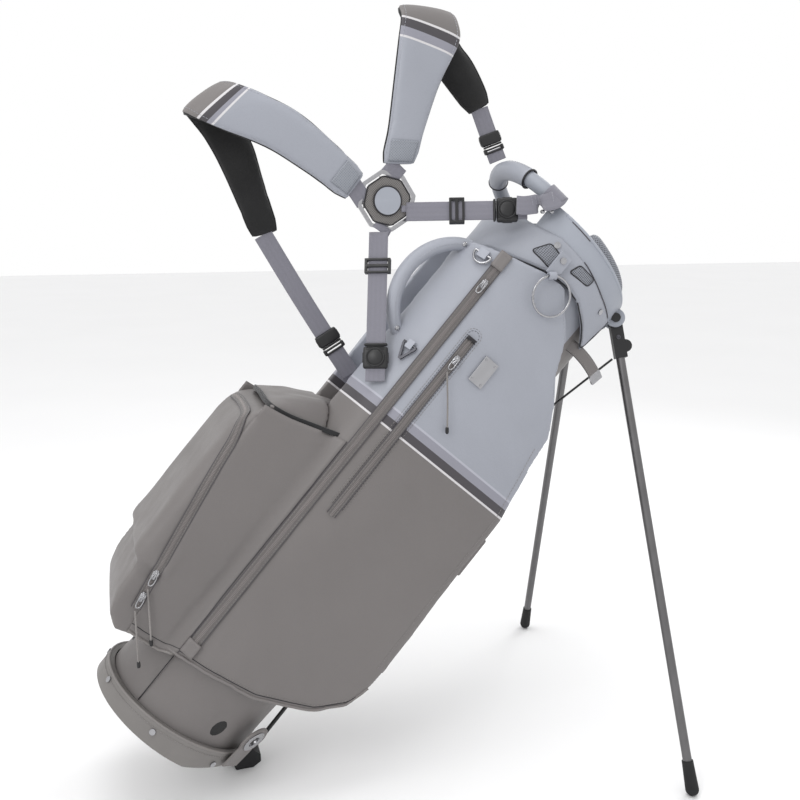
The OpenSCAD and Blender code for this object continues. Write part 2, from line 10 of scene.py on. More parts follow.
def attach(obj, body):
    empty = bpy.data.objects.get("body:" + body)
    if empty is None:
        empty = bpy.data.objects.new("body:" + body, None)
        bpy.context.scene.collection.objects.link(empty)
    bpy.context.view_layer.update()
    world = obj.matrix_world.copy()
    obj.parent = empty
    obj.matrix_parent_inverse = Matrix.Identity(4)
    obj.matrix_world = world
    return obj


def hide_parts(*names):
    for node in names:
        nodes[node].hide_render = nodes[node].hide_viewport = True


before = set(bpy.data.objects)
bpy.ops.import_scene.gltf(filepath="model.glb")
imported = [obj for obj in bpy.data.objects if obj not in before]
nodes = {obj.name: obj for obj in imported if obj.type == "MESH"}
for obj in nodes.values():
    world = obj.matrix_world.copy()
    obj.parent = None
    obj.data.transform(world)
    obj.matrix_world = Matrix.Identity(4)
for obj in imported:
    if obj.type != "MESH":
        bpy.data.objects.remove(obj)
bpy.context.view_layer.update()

scene = bpy.context.scene

# The bag's own frame: millimetres, z along the bag, +x towards the legs. PLACE leans it into the row frame.
LEAN = radians(41)
SOLE = (138.5, -6.6)
PLACE = Matrix.Scale(0.001, 4) @ Matrix.Rotation(LEAN, 4, "Y") @ Matrix.Translation((-SOLE[0], 0, -SOLE[1]))
TO_BAG = PLACE.inverted()
DOWN = Vector((sin(LEAN), 0, -cos(LEAN)))


# ---------------- camera, light and floor

def put(thing, **settings):
    """Sets a thing's own values."""
    for key, value in settings.items():
        setattr(thing, key, value)
    return thing


def add_object(name, data, **settings):
    made = put(bpy.data.objects.new(name, data), **settings)
    scene.collection.objects.link(made)
    return made


def area_light(name, at, target, size, power):
    light = put(bpy.data.lights.new(name, "AREA"), shape="DISK", size=size, energy=power)
    turn = (Vector(target) - Vector(at)).to_track_quat("-Z", "Y").to_euler()
    add_object(name, light, location=at, rotation_euler=turn)


lens = put(bpy.data.cameras.new("camera"), lens=39.04, sensor_width=36, clip_start=0.01)
scene.camera = add_object("camera", lens, location=(-0.12375, -1.13093, 0.76322),
                          rotation_euler=(radians(78.24), 0, radians(-17.66)))
area_light("key", (-1.6, -1.5, 2.2), (-0.1, 0, 0.5), 1.1, 17)
area_light("rim", (1.8, 0.9, 1.6), (0.1, 0, 0.6), 0.9, 10)
area_light("top", (-0.2, -0.2, 2.7), (0, 0, 0.5), 1.2, 12)
world = bpy.data.worlds.new("world")
world.use_nodes = True
background = world.node_tree.nodes["Background"].inputs
background["Color"].default_value = (1, 1, 1, 1)
background["Strength"].default_value = 1.0
scene.world = world
scene.view_settings.view_transform = "Standard"


# ---------------- materials

def linear(colour):
    """An sRGB colour in 0-255 as linear RGBA."""
    return [*((c / 255 / 12.92) if c < 10 else ((c / 255 + 0.055) / 1.055) ** 2.4 for c in colour), 1]


class Graph:
    """A material's nodes, with its Principled shader and the place on the piece in the bag's own frame."""

    def __init__(self, name):
        self.material = bpy.data.materials.new(name)
        self.material.use_nodes = True
        self.tree = self.material.node_tree
        self.shader = self.tree.nodes["Principled BSDF"]
        self.coordinates = self.add("TexCoord").outputs["Object"]

    def add(self, kind, links=(), **settings):
        node = put(self.tree.nodes.new("ShaderNode" + kind), **settings)
        for socket, value in dict(links).items():
            if isinstance(value, bpy.types.NodeSocket):
                self.tree.links.new(value, node.inputs[socket])
            else:
                node.inputs[socket].default_value = value
        return node

    def link(self, value, socket):
        self.tree.links.new(value, self.shader.inputs[socket])

    def set(self, **values):
        """Plain values on the shader's own sockets, with underscores for the spaces in their names."""
        for socket, value in values.items():
            self.shader.inputs[socket.replace("_", " ")].default_value = value

    def math(self, operation, a, b=0.0):
        return self.add("Math", {0: a, 1: b}, operation=operation).outputs[0]

    def times(self, *values):
        return reduce(lambda a, b: self.math("MULTIPLY", a, b), values)

    def noise(self, scale, detail, vector=None, distortion=0.0):
        links = {"Vector": vector or self.coordinates, "Scale": scale, "Detail": detail, "Distortion": distortion}
        return self.add("TexNoise", links).outputs["Fac"]

    def uneven(self, scale, detail, low, high, **more):
        """Noise spread over low to high."""
        return self.remap(self.noise(scale, detail, **more), 0.3, 0.7, low, high)

    def remap(self, value, low, high, new_low, new_high):
        return self.add("MapRange", {0: value, 1: low, 2: high, 3: new_low, 4: new_high}).outputs[0]

    def shade(self, colour, factor):
        """A colour made lighter or darker by a factor near 1."""
        mix = self.add("Mix", {0: 1.0, 6: colour}, data_type="RGBA", blend_type="MULTIPLY")
        self.tree.links.new(factor, mix.inputs[7])
        return mix.outputs[2]

    def blend(self, factor, a, b):
        return self.add("Mix", {0: factor, 6: a, 7: b}, data_type="RGBA").outputs[2]

    def bumps(self, *layers):
        """Layers of (height, strength, distance in metres)."""
        normal = None
        for height, strength, distance in layers:
            links = {"Height": height, "Strength": strength, "Distance": distance}
            if normal is not None:
                links["Normal"] = normal
            normal = self.add("Bump", links).outputs["Normal"]
        self.link(normal, "Normal")

    def finish(self, roughness, spread, scale=30):
        """Uneven roughness, and the finished material."""
        rough = self.uneven(scale, 4, roughness - spread, roughness + spread)
        self.link(rough, "Roughness")
        return self.material

    def along_bag(self):
        """Distance along the bag in millimetres."""
        axis = (1000 * sin(LEAN), 0, 1000 * cos(LEAN))
        dot = self.add("VectorMath", {0: self.coordinates, 1: axis}, operation="DOT_PRODUCT").outputs["Value"]
        return self.math("ADD", dot, SOLE[1])


LIGHT, TAUPE, LAVENDER = (153, 156, 165), (112, 108, 107), (128, 127, 137)
WHITE_LINE, DARK_BAND, PALE_BAND, PALE_LINE = (205, 203, 205), (70, 67, 71), (141, 141, 151), (172, 173, 183)
BANDS = [(0, TAUPE), (493, WHITE_LINE), (496.2, DARK_BAND), (507, PALE_BAND), (517.2, PALE_LINE), (519.8, LIGHT)]


def leather(name, colour, banded=False, roughness=0.5, grain=1.0):
    g = Graph(name)
    base = linear(colour)
    if banded:
        reach = 700.0
        ramp = g.add("ValToRGB", {0: g.math("DIVIDE", g.along_bag(), reach)})
        ramp.color_ramp.interpolation = "CONSTANT"
        for i, (start, band) in enumerate(BANDS):
            stop = ramp.color_ramp.elements[0] if i == 0 else ramp.color_ramp.elements.new(start / reach)
            stop.color = linear(band)
        ramp.color_ramp.elements.remove(ramp.color_ramp.elements[-1])
        base = ramp.outputs["Color"]
    pebble = g.add("TexVoronoi", {"Vector": g.coordinates, "Scale": 1200}, feature="SMOOTH_F1").outputs["Distance"]
    broad = g.uneven(4, 3, 0.92, 1.05, distortion=0.5)
    speck = g.remap(pebble, 0.1, 0.7, 1.02, 0.96)
    # painted highlight: convex edges, found by pointiness, are made up to a tenth lighter
    edge_highlight = g.remap(g.add("NewGeometry").outputs["Pointiness"], 0.505, 0.56, 1.0, 1.1)
    g.link(g.shade(base, g.times(broad, speck, edge_highlight)), "Base Color")
    g.set(Specular_IOR_Level=0.42, Coat_Weight=0.04, Coat_Roughness=0.4)
    g.bumps((g.noise(60, 3), 0.25 * grain, 0.0012), (pebble, 0.3 * grain, 0.0003))
    return g.finish(roughness, 0.06, scale=25)


def woven(name, colour, across=650.0, along=700.0, contrast=0.2, roughness=0.75):
    """Webbing or tape: its weave follows the strap through the piece's own UV map, in metres."""
    g = Graph(name)
    uv = g.add("UVMap", uv_map="strap").outputs["UV"]
    parts = g.add("SeparateXYZ", {0: uv})
    u = g.times(parts.outputs[0], across * tau)
    v = g.times(parts.outputs[1], along * tau)
    ribs = g.times(g.math("SINE", u), g.math("SINE", v))
    slow = g.math("SINE", g.times(parts.outputs[0], 160 * tau))
    height = g.math("ADD", ribs, g.times(slow, 0.18))
    tone = g.remap(height, -1.4, 1.4, 1 - contrast, 1 + contrast * 0.5)
    fuzz = g.uneven(900, 2, 0.96, 1.04)
    g.link(g.shade(linear(colour), g.times(tone, fuzz)), "Base Color")
    g.set(Sheen_Weight=0.25, Sheen_Roughness=0.5)
    g.bumps((height, 0.55, 0.0004))
    return g.finish(roughness, 0.05)


def fabric(name, colour, scale=1100, roughness=0.9):
    """Soft lining: a fine knit with a sheen."""
    g = Graph(name)
    knit = g.add("TexVoronoi", {"Vector": g.coordinates, "Scale": scale}).outputs["Distance"]
    tone = g.times(g.remap(knit, 0, 0.8, 1.25, 0.7), g.uneven(14, 3, 0.85, 1.2))
    g.link(g.shade(linear(colour), tone), "Base Color")
    g.set(Sheen_Weight=0.15, Sheen_Roughness=0.6)
    g.bumps((g.noise(40, 3), 0.4, 0.002), (knit, 0.5, 0.0004))
    return g.finish(roughness, 0.05)


def perforated(name, colour, hole_colour, pitch, hole, depth, use_uv=False):
    """A sheet with small holes in rows: pitch is in metres, hole is a share of it."""
    g = Graph(name)
    if use_uv:
        vector = g.add("UVMap", uv_map="strap").outputs["UV"]
    else:
        parts = g.add("SeparateXYZ", {0: g.coordinates})
        vector = g.add("CombineXYZ", {0: parts.outputs[0], 1: parts.outputs[2]}).outputs[0]
    turned = g.add("VectorRotate", {"Vector": vector, "Angle": radians(45)}, rotation_type="Z_AXIS").outputs[0]
    cell = g.add("TexVoronoi", {"Vector": turned, "Scale": 1 / pitch, "Randomness": 0.0}, voronoi_dimensions="2D")
    rim = g.remap(cell.outputs["Distance"], hole - 0.05, hole + 0.08, 0, 1)
    fine = g.uneven(700, 2, 0.94, 1.05)
    g.link(g.blend(rim, linear(hole_colour), g.shade(linear(colour), fine)), "Base Color")
    g.bumps((rim, depth, 0.0008), (g.noise(500, 2), 0.2, 0.0003))
    return g.finish(0.6, 0.06)


def plastic(name, colour, roughness, texture):
    g = Graph(name)
    tone = g.uneven(8, 4, 0.94, 1.06)
    # painted highlight: convex edges, found by pointiness, are made up to 35 per cent lighter
    edge = g.remap(g.add("NewGeometry").outputs["Pointiness"], 0.51, 0.6, 1.0, 1.35)
    g.link(g.shade(linear(colour), g.times(tone, edge)), "Base Color")
    g.bumps((g.noise(1500, 2), texture, 0.0002), (g.noise(90, 2), 0.08, 0.0006))
    return g.finish(roughness, 0.07, scale=60)


def metal(name, colour, roughness, brushed=None, scratch=0.12):
    """brushed is the stretch of the grain along the bag's own axes."""
    g = Graph(name)
    vector = g.coordinates
    if brushed:
        turned = g.add("Mapping", {"Vector": vector, "Rotation": (0, -LEAN, 0)}).outputs[0]
        vector = g.add("Mapping", {"Vector": turned, "Scale": brushed}).outputs[0]
    lines = g.noise(60 if brushed else 220, 5, vector)
    g.link(g.shade(linear(colour), g.remap(lines, 0.3, 0.7, 0.9, 1.08)), "Base Color")
    g.bumps((lines, scratch, 0.0002))
    g.set(Metallic=1)
    grain = g.remap(lines, 0.3, 0.7, roughness - 0.05, roughness + 0.05)
    g.link(g.math("ADD", grain, g.uneven(18, 3, -0.04, 0.05)), "Roughness")
    return g.material


M = {
    "banded": leather("leather_banded", TAUPE, banded=True),
    "light": leather("leather_light", LIGHT),
    "taupe": leather("leather_taupe", TAUPE),
    "white_line": leather("leather_white", WHITE_LINE, grain=0.6),
    "dark_band": leather("leather_dark", DARK_BAND, grain=0.8),
    "pale_band": leather("leather_pale", PALE_BAND, grain=0.8),
    "edge": leather("leather_edge", (30, 29, 33), grain=0.5, roughness=0.42),
    "piping": leather("piping_taupe", (120, 116, 114), grain=0.6, roughness=0.46),
    "webbing": woven("webbing_grey", LAVENDER),
    "webbing_black": woven("webbing_black", (22, 22, 25)),
    "tape": woven("zip_tape", (103, 99, 98), across=900, along=900, contrast=0.14, roughness=0.6),
    "coil": plastic("zip_coil", (112, 107, 106), 0.4, 0.1),
    "thread_light": fabric("thread_light", (166, 168, 176), 2500),
    "thread_taupe": fabric("thread_taupe", (134, 130, 128), 2500),
    "thread_black": fabric("thread_black", (40, 39, 42), 2500),
    "lining": fabric("lining_black", (9, 9, 11)),
    "divider": fabric("lining_grey", (112, 115, 123), 900, 0.8),
    "mesh": perforated("spacer_mesh", (143, 146, 154), (52, 54, 60), 0.0026, 0.3, 0.8, use_uv=True),
    "grille": perforated("perforated_leather", (120, 117, 115), (66, 64, 64), 0.0022, 0.25, 0.5),
    "patch": perforated("perforated_patch", (141, 145, 153), (112, 115, 123), 0.0024, 0.24, 0.35),
    "grille_light": perforated("perforated_light", (134, 137, 145), (62, 63, 69), 0.0024, 0.28, 0.8),
    "moulded_light": plastic("moulded_light", (144, 148, 157), 0.5, 0.35),
    "moulded_taupe": plastic("moulded_taupe", (110, 107, 105), 0.55, 0.35),
    "disc": plastic("moulded_disc", (150, 154, 163), 0.4, 0.15),
    "black": plastic("plastic_black", (19, 19, 21), 0.4, 0.3),
    "rubber": plastic("rubber_black", (18, 18, 20), 0.75, 0.7),
    "gunmetal": metal("gunmetal", (112, 111, 112), 0.4, (1, 1, 0.12)),
    "silver": metal("silver", (168, 168, 171), 0.22),
    "dark_steel": metal("dark_steel", (88, 88, 93), 0.3),
    "brushed": metal("brushed_plate", (172, 172, 175), 0.34, (1, 1, 0.06), 0.25),
    "wire": plastic("wire_black", (22, 22, 24), 0.32, 0.1),
}


# ---------------- mesh helpers

SIDES = ((-1, "right"), (1, "left"))


def span(first, last, steps):
    """Even steps from first to last, with both ends."""
    return [first + (last - first) * i / steps for i in range(steps + 1)]


def circle(count):
    """The angles of a closed ring."""
    return [tau * i / count for i in range(count)]


def shift(line, x, y, z):
    return [p + Vector((x, y, z)) for p in line]


def ring_faces(rings, sides, closed=False):
    """Faces over a stack of rings. Its two ends are capped unless it closes on itself."""
    faces = []
    for i in range(rings if closed else rings - 1):
        j = (i + 1) % rings
        for k in range(sides):
            n = (k + 1) % sides
            faces.append((i * sides + k, i * sides + n, j * sides + n, j * sides + k))
    if not closed:
        faces += [tuple(reversed(range(sides))), tuple(range((rings - 1) * sides, rings * sides))]
    return faces


def sheet_faces(rows, columns):
    """Faces over a grid of rows + 1 by columns + 1 points."""
    wide = columns + 1
    return [(i * wide + j, i * wide + j + 1, (i + 1) * wide + j + 1, (i + 1) * wide + j)
            for i in range(rows) for j in range(columns)]


def dress(piece, keys, body, replaces):
    """A piece's materials, smooth shading and place in the frame."""
    for key in keys:
        piece.data.materials.append(M[key])
    piece.data.polygons.foreach_set("use_smooth", [True] * len(piece.data.polygons))
    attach(piece, body)
    if replaces:
        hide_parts(*replaces)


def add_piece(name, verts, faces, keys, slot, body="bag", picks=None, uvs=None, replaces=()):
    """A piece from points in the bag's own frame. picks gives each face its material's place in keys."""
    mesh = bpy.data.meshes.new(name)
    mesh.from_pydata([PLACE @ Vector(v) for v in verts], [], faces)
    if uvs:
        layer = mesh.uv_layers.new(name="strap")
        for loop in mesh.loops:
            layer.data[loop.index].uv = uvs[loop.vertex_index]
    if picks:
        mesh.polygons.foreach_set("material_index", picks)
    piece = add_object(name, mesh)
    dress(piece, keys, body, replaces)
    return piece


def apply_modifiers(piece):
    """Makes what a piece's modifiers show into its own mesh."""
    bpy.context.view_layer.update()
    graph = bpy.context.evaluated_depsgraph_get()
    mesh = bpy.data.meshes.new_from_object(piece.evaluated_get(graph))
    old = piece.data
    piece.modifiers.clear()
    piece.data = mesh
    bpy.data.meshes.remove(old)


def modify(piece, kind, **settings):
    return put(piece.modifiers.new(kind.lower(), kind), **settings)


def thicken(piece, amount):
    modify(piece, "SOLIDIFY", thickness=amount / 1000, offset=0)
    apply_modifiers(piece)


def soft_copy(name, node, voxel, rounds, key, move):
    """A soft piece from a plain CAD solid: remeshed, rounded over, then each point moved by move(point, normal)."""
    piece = add_object(name, nodes[node].data.copy())
    modify(piece, "REMESH", mode="VOXEL", voxel_size=voxel / 1000)
    modify(piece, "SMOOTH", factor=0.5, iterations=rounds)
    apply_modifiers(piece)
    mesh = piece.data
    mesh.name = name
    mesh.update()
    normals = [v.normal.copy() for v in mesh.vertices]
    turn = TO_BAG.to_3x3().normalized()
    for vertex, normal in zip(mesh.vertices, normals):
        vertex.co = PLACE @ move(TO_BAG @ vertex.co, (turn @ normal).normalized())
    mesh.materials.clear()
    dress(piece, [key], "bag", [node])
    return piece


def catmull(points, steps):
    """A smooth line through the points."""
    points = [Vector(p) for p in points]
    line = []
    for i, (a, b) in enumerate(zip(points, points[1:])):
        before = points[i - 1] if i else a * 2 - b
        after = points[i + 2] if i + 2 < len(points) else b * 2 - a
        for s in range(steps):
            t = s / steps
            line.append(0.5 * (2 * a + (b - before) * t + (2 * before - 5 * a + 4 * b - after) * t * t
                               + (3 * a - before - 3 * b + after) * t ** 3))
    line.append(points[-1])
    return line


def resample(line, pitch):
    """Points along a line at an even pitch."""
    line = [Vector(p) for p in line]
    lengths = [(b - a).length for a, b in zip(line, line[1:])]
    total = sum(lengths)
    count = max(1, round(total / pitch))
    made, i, gone = [], 0, 0.0
    for k in range(count + 1):
        target = total * k / count
        while i < len(lengths) - 1 and gone + lengths[i] < target:
            gone += lengths[i]
            i += 1
        t = 0 if lengths[i] == 0 else (target - gone) / lengths[i]
        made.append(line[i].lerp(line[i + 1], min(1, max(0, t))))
    return made


def ease(line, rounds):
    """Rounds off a line's bends. Its ends stay."""
    last = len(line) - 1
    for _ in range(rounds):
        line = [p if i in (0, last) else (line[i - 1] + p * 2 + line[i + 1]) / 4 for i, p in enumerate(line)]
    return line


def tangents(line):
    last = len(line) - 1
    return [(line[min(i + 1, last)] - line[max(i - 1, 0)]).normalized() for i in range(len(line))]


def tube_mesh(line, radius, sides=10, closed=False):
    """A round bar along a line. radius is a number or a function of the share of the length."""
    count = len(line)
    if closed:
        directions = [(line[(i + 1) % count] - line[i - 1]).normalized() for i in range(count)]
    else:
        directions = tangents(line)
    side = directions[0].orthogonal().normalized()
    verts = []
    for i, (point, direction) in enumerate(zip(line, directions)):
        side = (side - direction * side.dot(direction)).normalized()
        up = direction.cross(side)
        r = radius(i / (count - 1)) if callable(radius) else radius
        verts += [point + side * (r * cos(a)) + up * (r * sin(a)) for a in circle(sides)]
    return verts, ring_faces(count, sides, closed)


def tube(name, line, radius, key, slot, body="bag", sides=8, closed=False, replaces=()):
    verts, faces = tube_mesh([Vector(p) for p in line], radius, sides, closed)
    return add_piece(name, verts, faces, [key], slot, body, replaces=replaces)


def edging(name, line, radius, key="edge", sides=6, closed=False):
    """A thin dark line: a seam or a bound edge."""
    tube(name, line, radius, key, "black_plastic", sides=sides, closed=closed)


def merge(parts):
    """Joins (verts, faces) pairs into one."""
    verts, faces = [], []
    for v, f in parts:
        start = len(verts)
        verts += v
        faces += [tuple(start + i for i in face) for face in f]
    return verts, faces


def stitches(name, lines, key, slot="webbing", pitch=4.2, length=2.9, radius=0.38):
    """Separate stitches along lines."""
    parts = []
    for line in lines:
        points = resample(line, pitch)
        for point, direction in zip(points, tangents(points)):
            half = direction * (length / 2)
            parts.append(tube_mesh([point - half, point - half * 0.6, point + half * 0.6, point + half],
                                   lambda t: radius * (0.45 if t in (0, 1) else 1), 5))
    add_piece(name, *merge(parts), [key], slot)


def strap(name, line, across, width, thick, key, slot="webbing", replaces=()):
    """A flat strap. across is the direction over its width, or a list with one for each point."""
    line = [Vector(p) for p in line]
    profile = [(share, 0.65 if abs(share) == 1 else 1) for share in (-1, -0.96, -0.5, 0, 0.5, 0.96, 1)]
    verts, uvs, gone = [], [], 0
    for i, (point, direction) in enumerate(zip(line, tangents(line))):
        if i:
            gone += (point - line[i - 1]).length
        side = Vector(across[i] if isinstance(across, list) else across)
        side = (side - direction * side.dot(direction)).normalized()
        up = side.cross(direction).normalized()
        for sign, row in ((1, profile), (-1, profile[::-1])):
            for share, tall in row:
                verts.append(point + side * (share * width / 2) + up * (sign * tall * thick / 2))
                uvs.append((share * width / 2000, gone / 1000))
    add_piece(name, verts, ring_faces(len(line), 2 * len(profile)), [key], slot, uvs=uvs, replaces=replaces)


def rounded_box(bm, centre, size, axes, radius, segments=3):
    """A box with rounded edges: axes are its own three directions."""
    made = bmesh.ops.create_cube(bm, size=1)
    matrix = Matrix([axis * length for axis, length in zip(axes, size)]).transposed().to_4x4()
    matrix.translation = centre
    bmesh.ops.transform(bm, matrix=matrix, verts=made["verts"])
    edges = dict.fromkeys(e for v in made["verts"] for e in v.link_edges)
    bmesh.ops.bevel(bm, geom=list(edges), offset=radius, segments=segments, affect="EDGES", profile=0.5)


def lathe(bm, centre, axis, profile, sides=40):
    """A turned shape from (radius, height) points."""
    axis = axis.normalized()
    side = axis.orthogonal().normalized()
    up = axis.cross(side)
    rings = [[bm.verts.new(centre + axis * h + (side * cos(a) + up * sin(a)) * r) for a in circle(sides)]
             for r, h in profile]
    for a, b in zip(rings, rings[1:]):
        for k in range(sides):
            bm.faces.new((a[k], a[(k + 1) % sides], b[(k + 1) % sides], b[k]))
    bm.faces.new(rings[-1])
    bm.faces.new(rings[0][::-1])


def from_bmesh(name, bm, key, slot, body="bag", replaces=()):
    """A piece of one material from a mesh that was built in the bag's own frame."""
    bmesh.ops.recalc_face_normals(bm, faces=bm.faces)
    verts = [v.co.copy() for v in bm.verts]
    bm.verts.index_update()
    faces = [tuple(v.index for v in f.verts) for f in bm.faces]
    bm.free()
    return add_piece(name, verts, faces, [key], slot, body, replaces=replaces)


def turned(name, places, profile, key, slot, body="bag", sides=20):
    """Turned shapes in one piece, one at each (centre, axis)."""
    bm = bmesh.new()
    for centre, axis in places:
        lathe(bm, Vector(centre), Vector(axis), profile, sides)
    return from_bmesh(name, bm, key, slot, body)


def puff(piece, pressure, cap):
    """Fills a closed piece by cloth simulation and keeps each point within cap millimetres of where it was."""
    frames = 16
    before = [v.co.copy() for v in piece.data.vertices]
    cloth = modify(piece, "CLOTH")
    put(cloth.settings, quality=4, mass=0.3, tension_stiffness=6.0, compression_stiffness=6.0, bending_stiffness=0.5,
        use_pressure=True, uniform_pressure_force=pressure)
    cloth.settings.effector_weights.gravity = 0
    cloth.collision_settings.use_collision = False
    for number in range(1, frames + 1):
        scene.frame_set(number)
    bpy.context.view_layer.update()
    posed = piece.evaluated_get(bpy.context.evaluated_depsgraph_get())
    after = [v.co.copy() for v in posed.data.vertices]
    piece.modifiers.clear()
    scene.frame_set(1)
    for vertex, a, b in zip(piece.data.vertices, before, after):
        move = b - a
        if move.length > cap / 1000:
            move = move.normalized() * cap / 1000
        vertex.co = a + move
    piece.data.update()


# ---------------- the bag's shape

POCKET_A, POCKET_B, POCKET_SHIFT = 158, 120, 45
POCKET_BOTTOM = [(-125, 100), (-62, 110), (30, 118), (108, 143), (145, 172), (156, 195), (161, 222)]
POCKET_UPPER = [(-18, 780), (15, 783), (63, 737), (84, 692), (104, 668), (136, 622), (142, 574), (158, 493)]


def face_at(x):
    """y of the right pocket's face."""
    n = 3 if x < POCKET_SHIFT else 4.5
    return -POCKET_B * (1 - (abs(x - POCKET_SHIFT) / POCKET_A) ** n) ** (1 / n)


def face_slope(x):
    return (face_at(x + 1) - face_at(x - 1)) / 2


def on_face(x, z, off=0.0, side=-1):
    """A point off the pocket's face. side is -1 on the right of the bag and 1 on its left."""
    p = Vector((x, face_at(x), z)) + Vector((face_slope(x), -1, 0)).normalized() * off
    return Vector((p.x, -side * p.y, p.z))


def face_across(x):
    """Direction along the right pocket's face, level."""
    return Vector((1, face_slope(x), 0)).normalized()


def face_out(x):
    return (on_face(x, 0, 1) - on_face(x, 0)).normalized()


def interp(pairs, x):
    """y on a line through (x, y) pairs, level past its ends."""
    for (x0, y0), (x1, y1) in zip(pairs, pairs[1:]):
        if x0 <= x <= x1:
            return y0 + (y1 - y0) * (x - x0) / (x1 - x0)
    return pairs[0][1] if x < pairs[0][0] else pairs[-1][1]


def surface(piece):
    """A piece's skin in the bag's own frame, for seams to lie on."""
    mesh = piece.data
    return BVHTree.FromPolygons([TO_BAG @ v.co for v in mesh.vertices], [tuple(f.vertices) for f in mesh.polygons])


def settle(skin, line, off):
    """Moves a line onto a skin and off millimetres out from it."""
    made = []
    for point in line:
        at, normal, _, _ = skin.find_nearest(Vector(point))
        made.append(at + normal * off)
    return made


def wave(p, scale, seed):
    return noise.noise(Vector(p) / scale + Vector((seed, seed * 0.7, 0)))


def pocket_move(point, normal):
    """Soft, slightly slack leather: wide swells, and shallow pulls along the bag near the bottom edge."""
    swell = 1.6 * wave((point.x, point.y, point.z * 0.7), 105, 3)
    low = max(0, 1 - (point.z - 110) / 160)
    pulls = 1.5 * low * wave((point.x * 1.6, point.y * 1.6, point.z * 0.4), 28, 5)
    creases = 0.7 * wave((point.x + point.z, point.y, (point.z - point.x) * 0.35), 34, 14)
    return point + normal * (swell + pulls + creases - 1.3)


pocket_skins = {}
for side, word in SIDES:
    pocket_skins[side] = surface(soft_copy("pocket_skin_" + word, "side_pocket_" + word, 3.4, 8, "banded",
                                           pocket_move))


SKIN_R, LINING_R = 107.4, 105.2
TUBE_LEAN, SOLE_LEAN = tan(radians(2.1)), tan(radians(17))


def body_skin():
    """The main tube: leather outside, lining inside, and creases round its foot."""
    sides, rows = 160, span(26, 800, 120)
    levels = [(z, True) for z in rows] + [(z, False) for z in reversed(rows)]
    verts, picks = [], []
    for z, outside in levels:
        crease = max(0.0, 1 - abs(z - 62) / 60)
        for angle in circle(sides):
            ripple = wave((cos(angle) * 60, sin(angle) * 60, z * 0.35), 22, 9)
            r = SKIN_R + crease * (2.8 * ripple - 1.3) if outside else LINING_R
            bottom = 9.0 + max(0.0, (r * cos(angle) - 12) * SOLE_LEAN)
            height = max(7.0 if z == rows[0] else z, bottom)
            verts.append((z * TUBE_LEAN + r * cos(angle), r * sin(angle), height))
    for i in range(len(levels)):
        for k in range(sides):
            front = cos(tau * (k + 0.5) / sides) > 0.45
            picks.append(1 if i >= len(rows) - 1 else 2 if front else 0)
    add_piece("body_skin", verts, ring_faces(len(levels), sides, closed=True), ["banded", "lining", "taupe"],
              "taupe_leather", picks=picks, replaces=["body_tube"])


body_skin()


# ---------------- ball pocket and pouch

BALL_TILT, BALL_HALF, BALL_FOLD = radians(9.4), 84.0, 181


def ball_x(z):
    """The ball pocket's zip leans back as it rises."""
    return -163.3 - (z - 180) * tan(BALL_TILT)


def ball_move(point, normal):
    """A slight crown on the sides, swells and gathers on the back, and a fold across it."""
    share = max(0.0, 1 - ((point.x + 125) / 70) ** 2) * max(0.0, 1 - ((point.z - 270) / 175) ** 2)
    crown = 2.6 * sqrt(share) if abs(normal.y) > 0.6 else 0.0
    if point.x > -62 or (abs(normal.y) > 0.6 and point.x > -100):
        return point + normal * (crown * 0.5 - 0.6)
    swell = 1.5 * wave((point.x, point.y * 0.5, point.z * 0.5), 75, 21)
    gather = 1.4 * max(0, 1 - abs(point.z - 175) / 60) * wave((point.x, point.y, point.z * 2.2), 24, 4)
    rise = point.z - BALL_FOLD
    fold = 3.0 * tanh(rise / 4) * exp(-(rise / 34) ** 2) if point.x < -150 else 0.0
    return point + normal * (swell + gather + crown + fold - 0.8)


def pouch_move(point, normal):
    fold = 1.8 * wave((point.x, point.y * 1.3, point.z), 34, 12) * min(1, max(0, (point.z - 430) / 25))
    return point + normal * (fold + 0.4)


ball = soft_copy("ball_pocket_skin", "ball_pocket", 4.0, 12, "taupe", ball_move)
ball_skin = surface(ball)
pouch = soft_copy("top_pouch_skin", "top_pocket", 3.4, 10, "taupe", pouch_move)


# ---------------- zips, seams and piping

LONG_ZIP_X, SHORT_ZIP_X = -71, -41


def zip_run(name, line, across, outward, width, replaces=()):
    """Tape with a coil down its middle, a dark seam and a row of stitches on each side."""
    def raised(height, sideways=0.0):
        return [p + o * height + a * sideways for p, o, a in zip(line, outward, across)]

    strap(name + "_tape", raised(0.4), across, width, 3.0, "tape", "zip_tape", replaces)
    top = resample(raised(2.0), 1.75)
    parts = []
    for i, point in enumerate(top):
        side = across[min(len(across) - 1, round(i * len(across) / len(top)))] * (width * 0.17)
        parts.append(tube_mesh([point - side, point - side * 0.8, point + side * 0.8, point + side],
                               lambda t: 0.62 if 0.1 < t < 0.9 else 0.4, 6))
    add_piece(name + "_coil", *merge(parts), ["coil"], "zip_tape")
    for sign, word in ((-1, "a"), (1, "b")):
        edging(f"{name}_seam_{word}", raised(1.5, sign * width / 2), 0.6, "dark_band")
        sewn = raised(2.1, sign * (width / 2 - 1.9))
        stitches(f"{name}_stitches_{word}", [sewn], "thread_taupe", "zip_tape", radius=0.3)


def face_zip(name, x, low, high, width, replaces=()):
    """A straight zip up the right pocket's face."""
    line = ease(settle(pocket_skins[-1], [on_face(x, z) for z in span(low, high, 40)], 0.3), 4)
    zip_run(name, line, [face_across(x)] * len(line), [face_out(x)] * len(line), width, replaces)


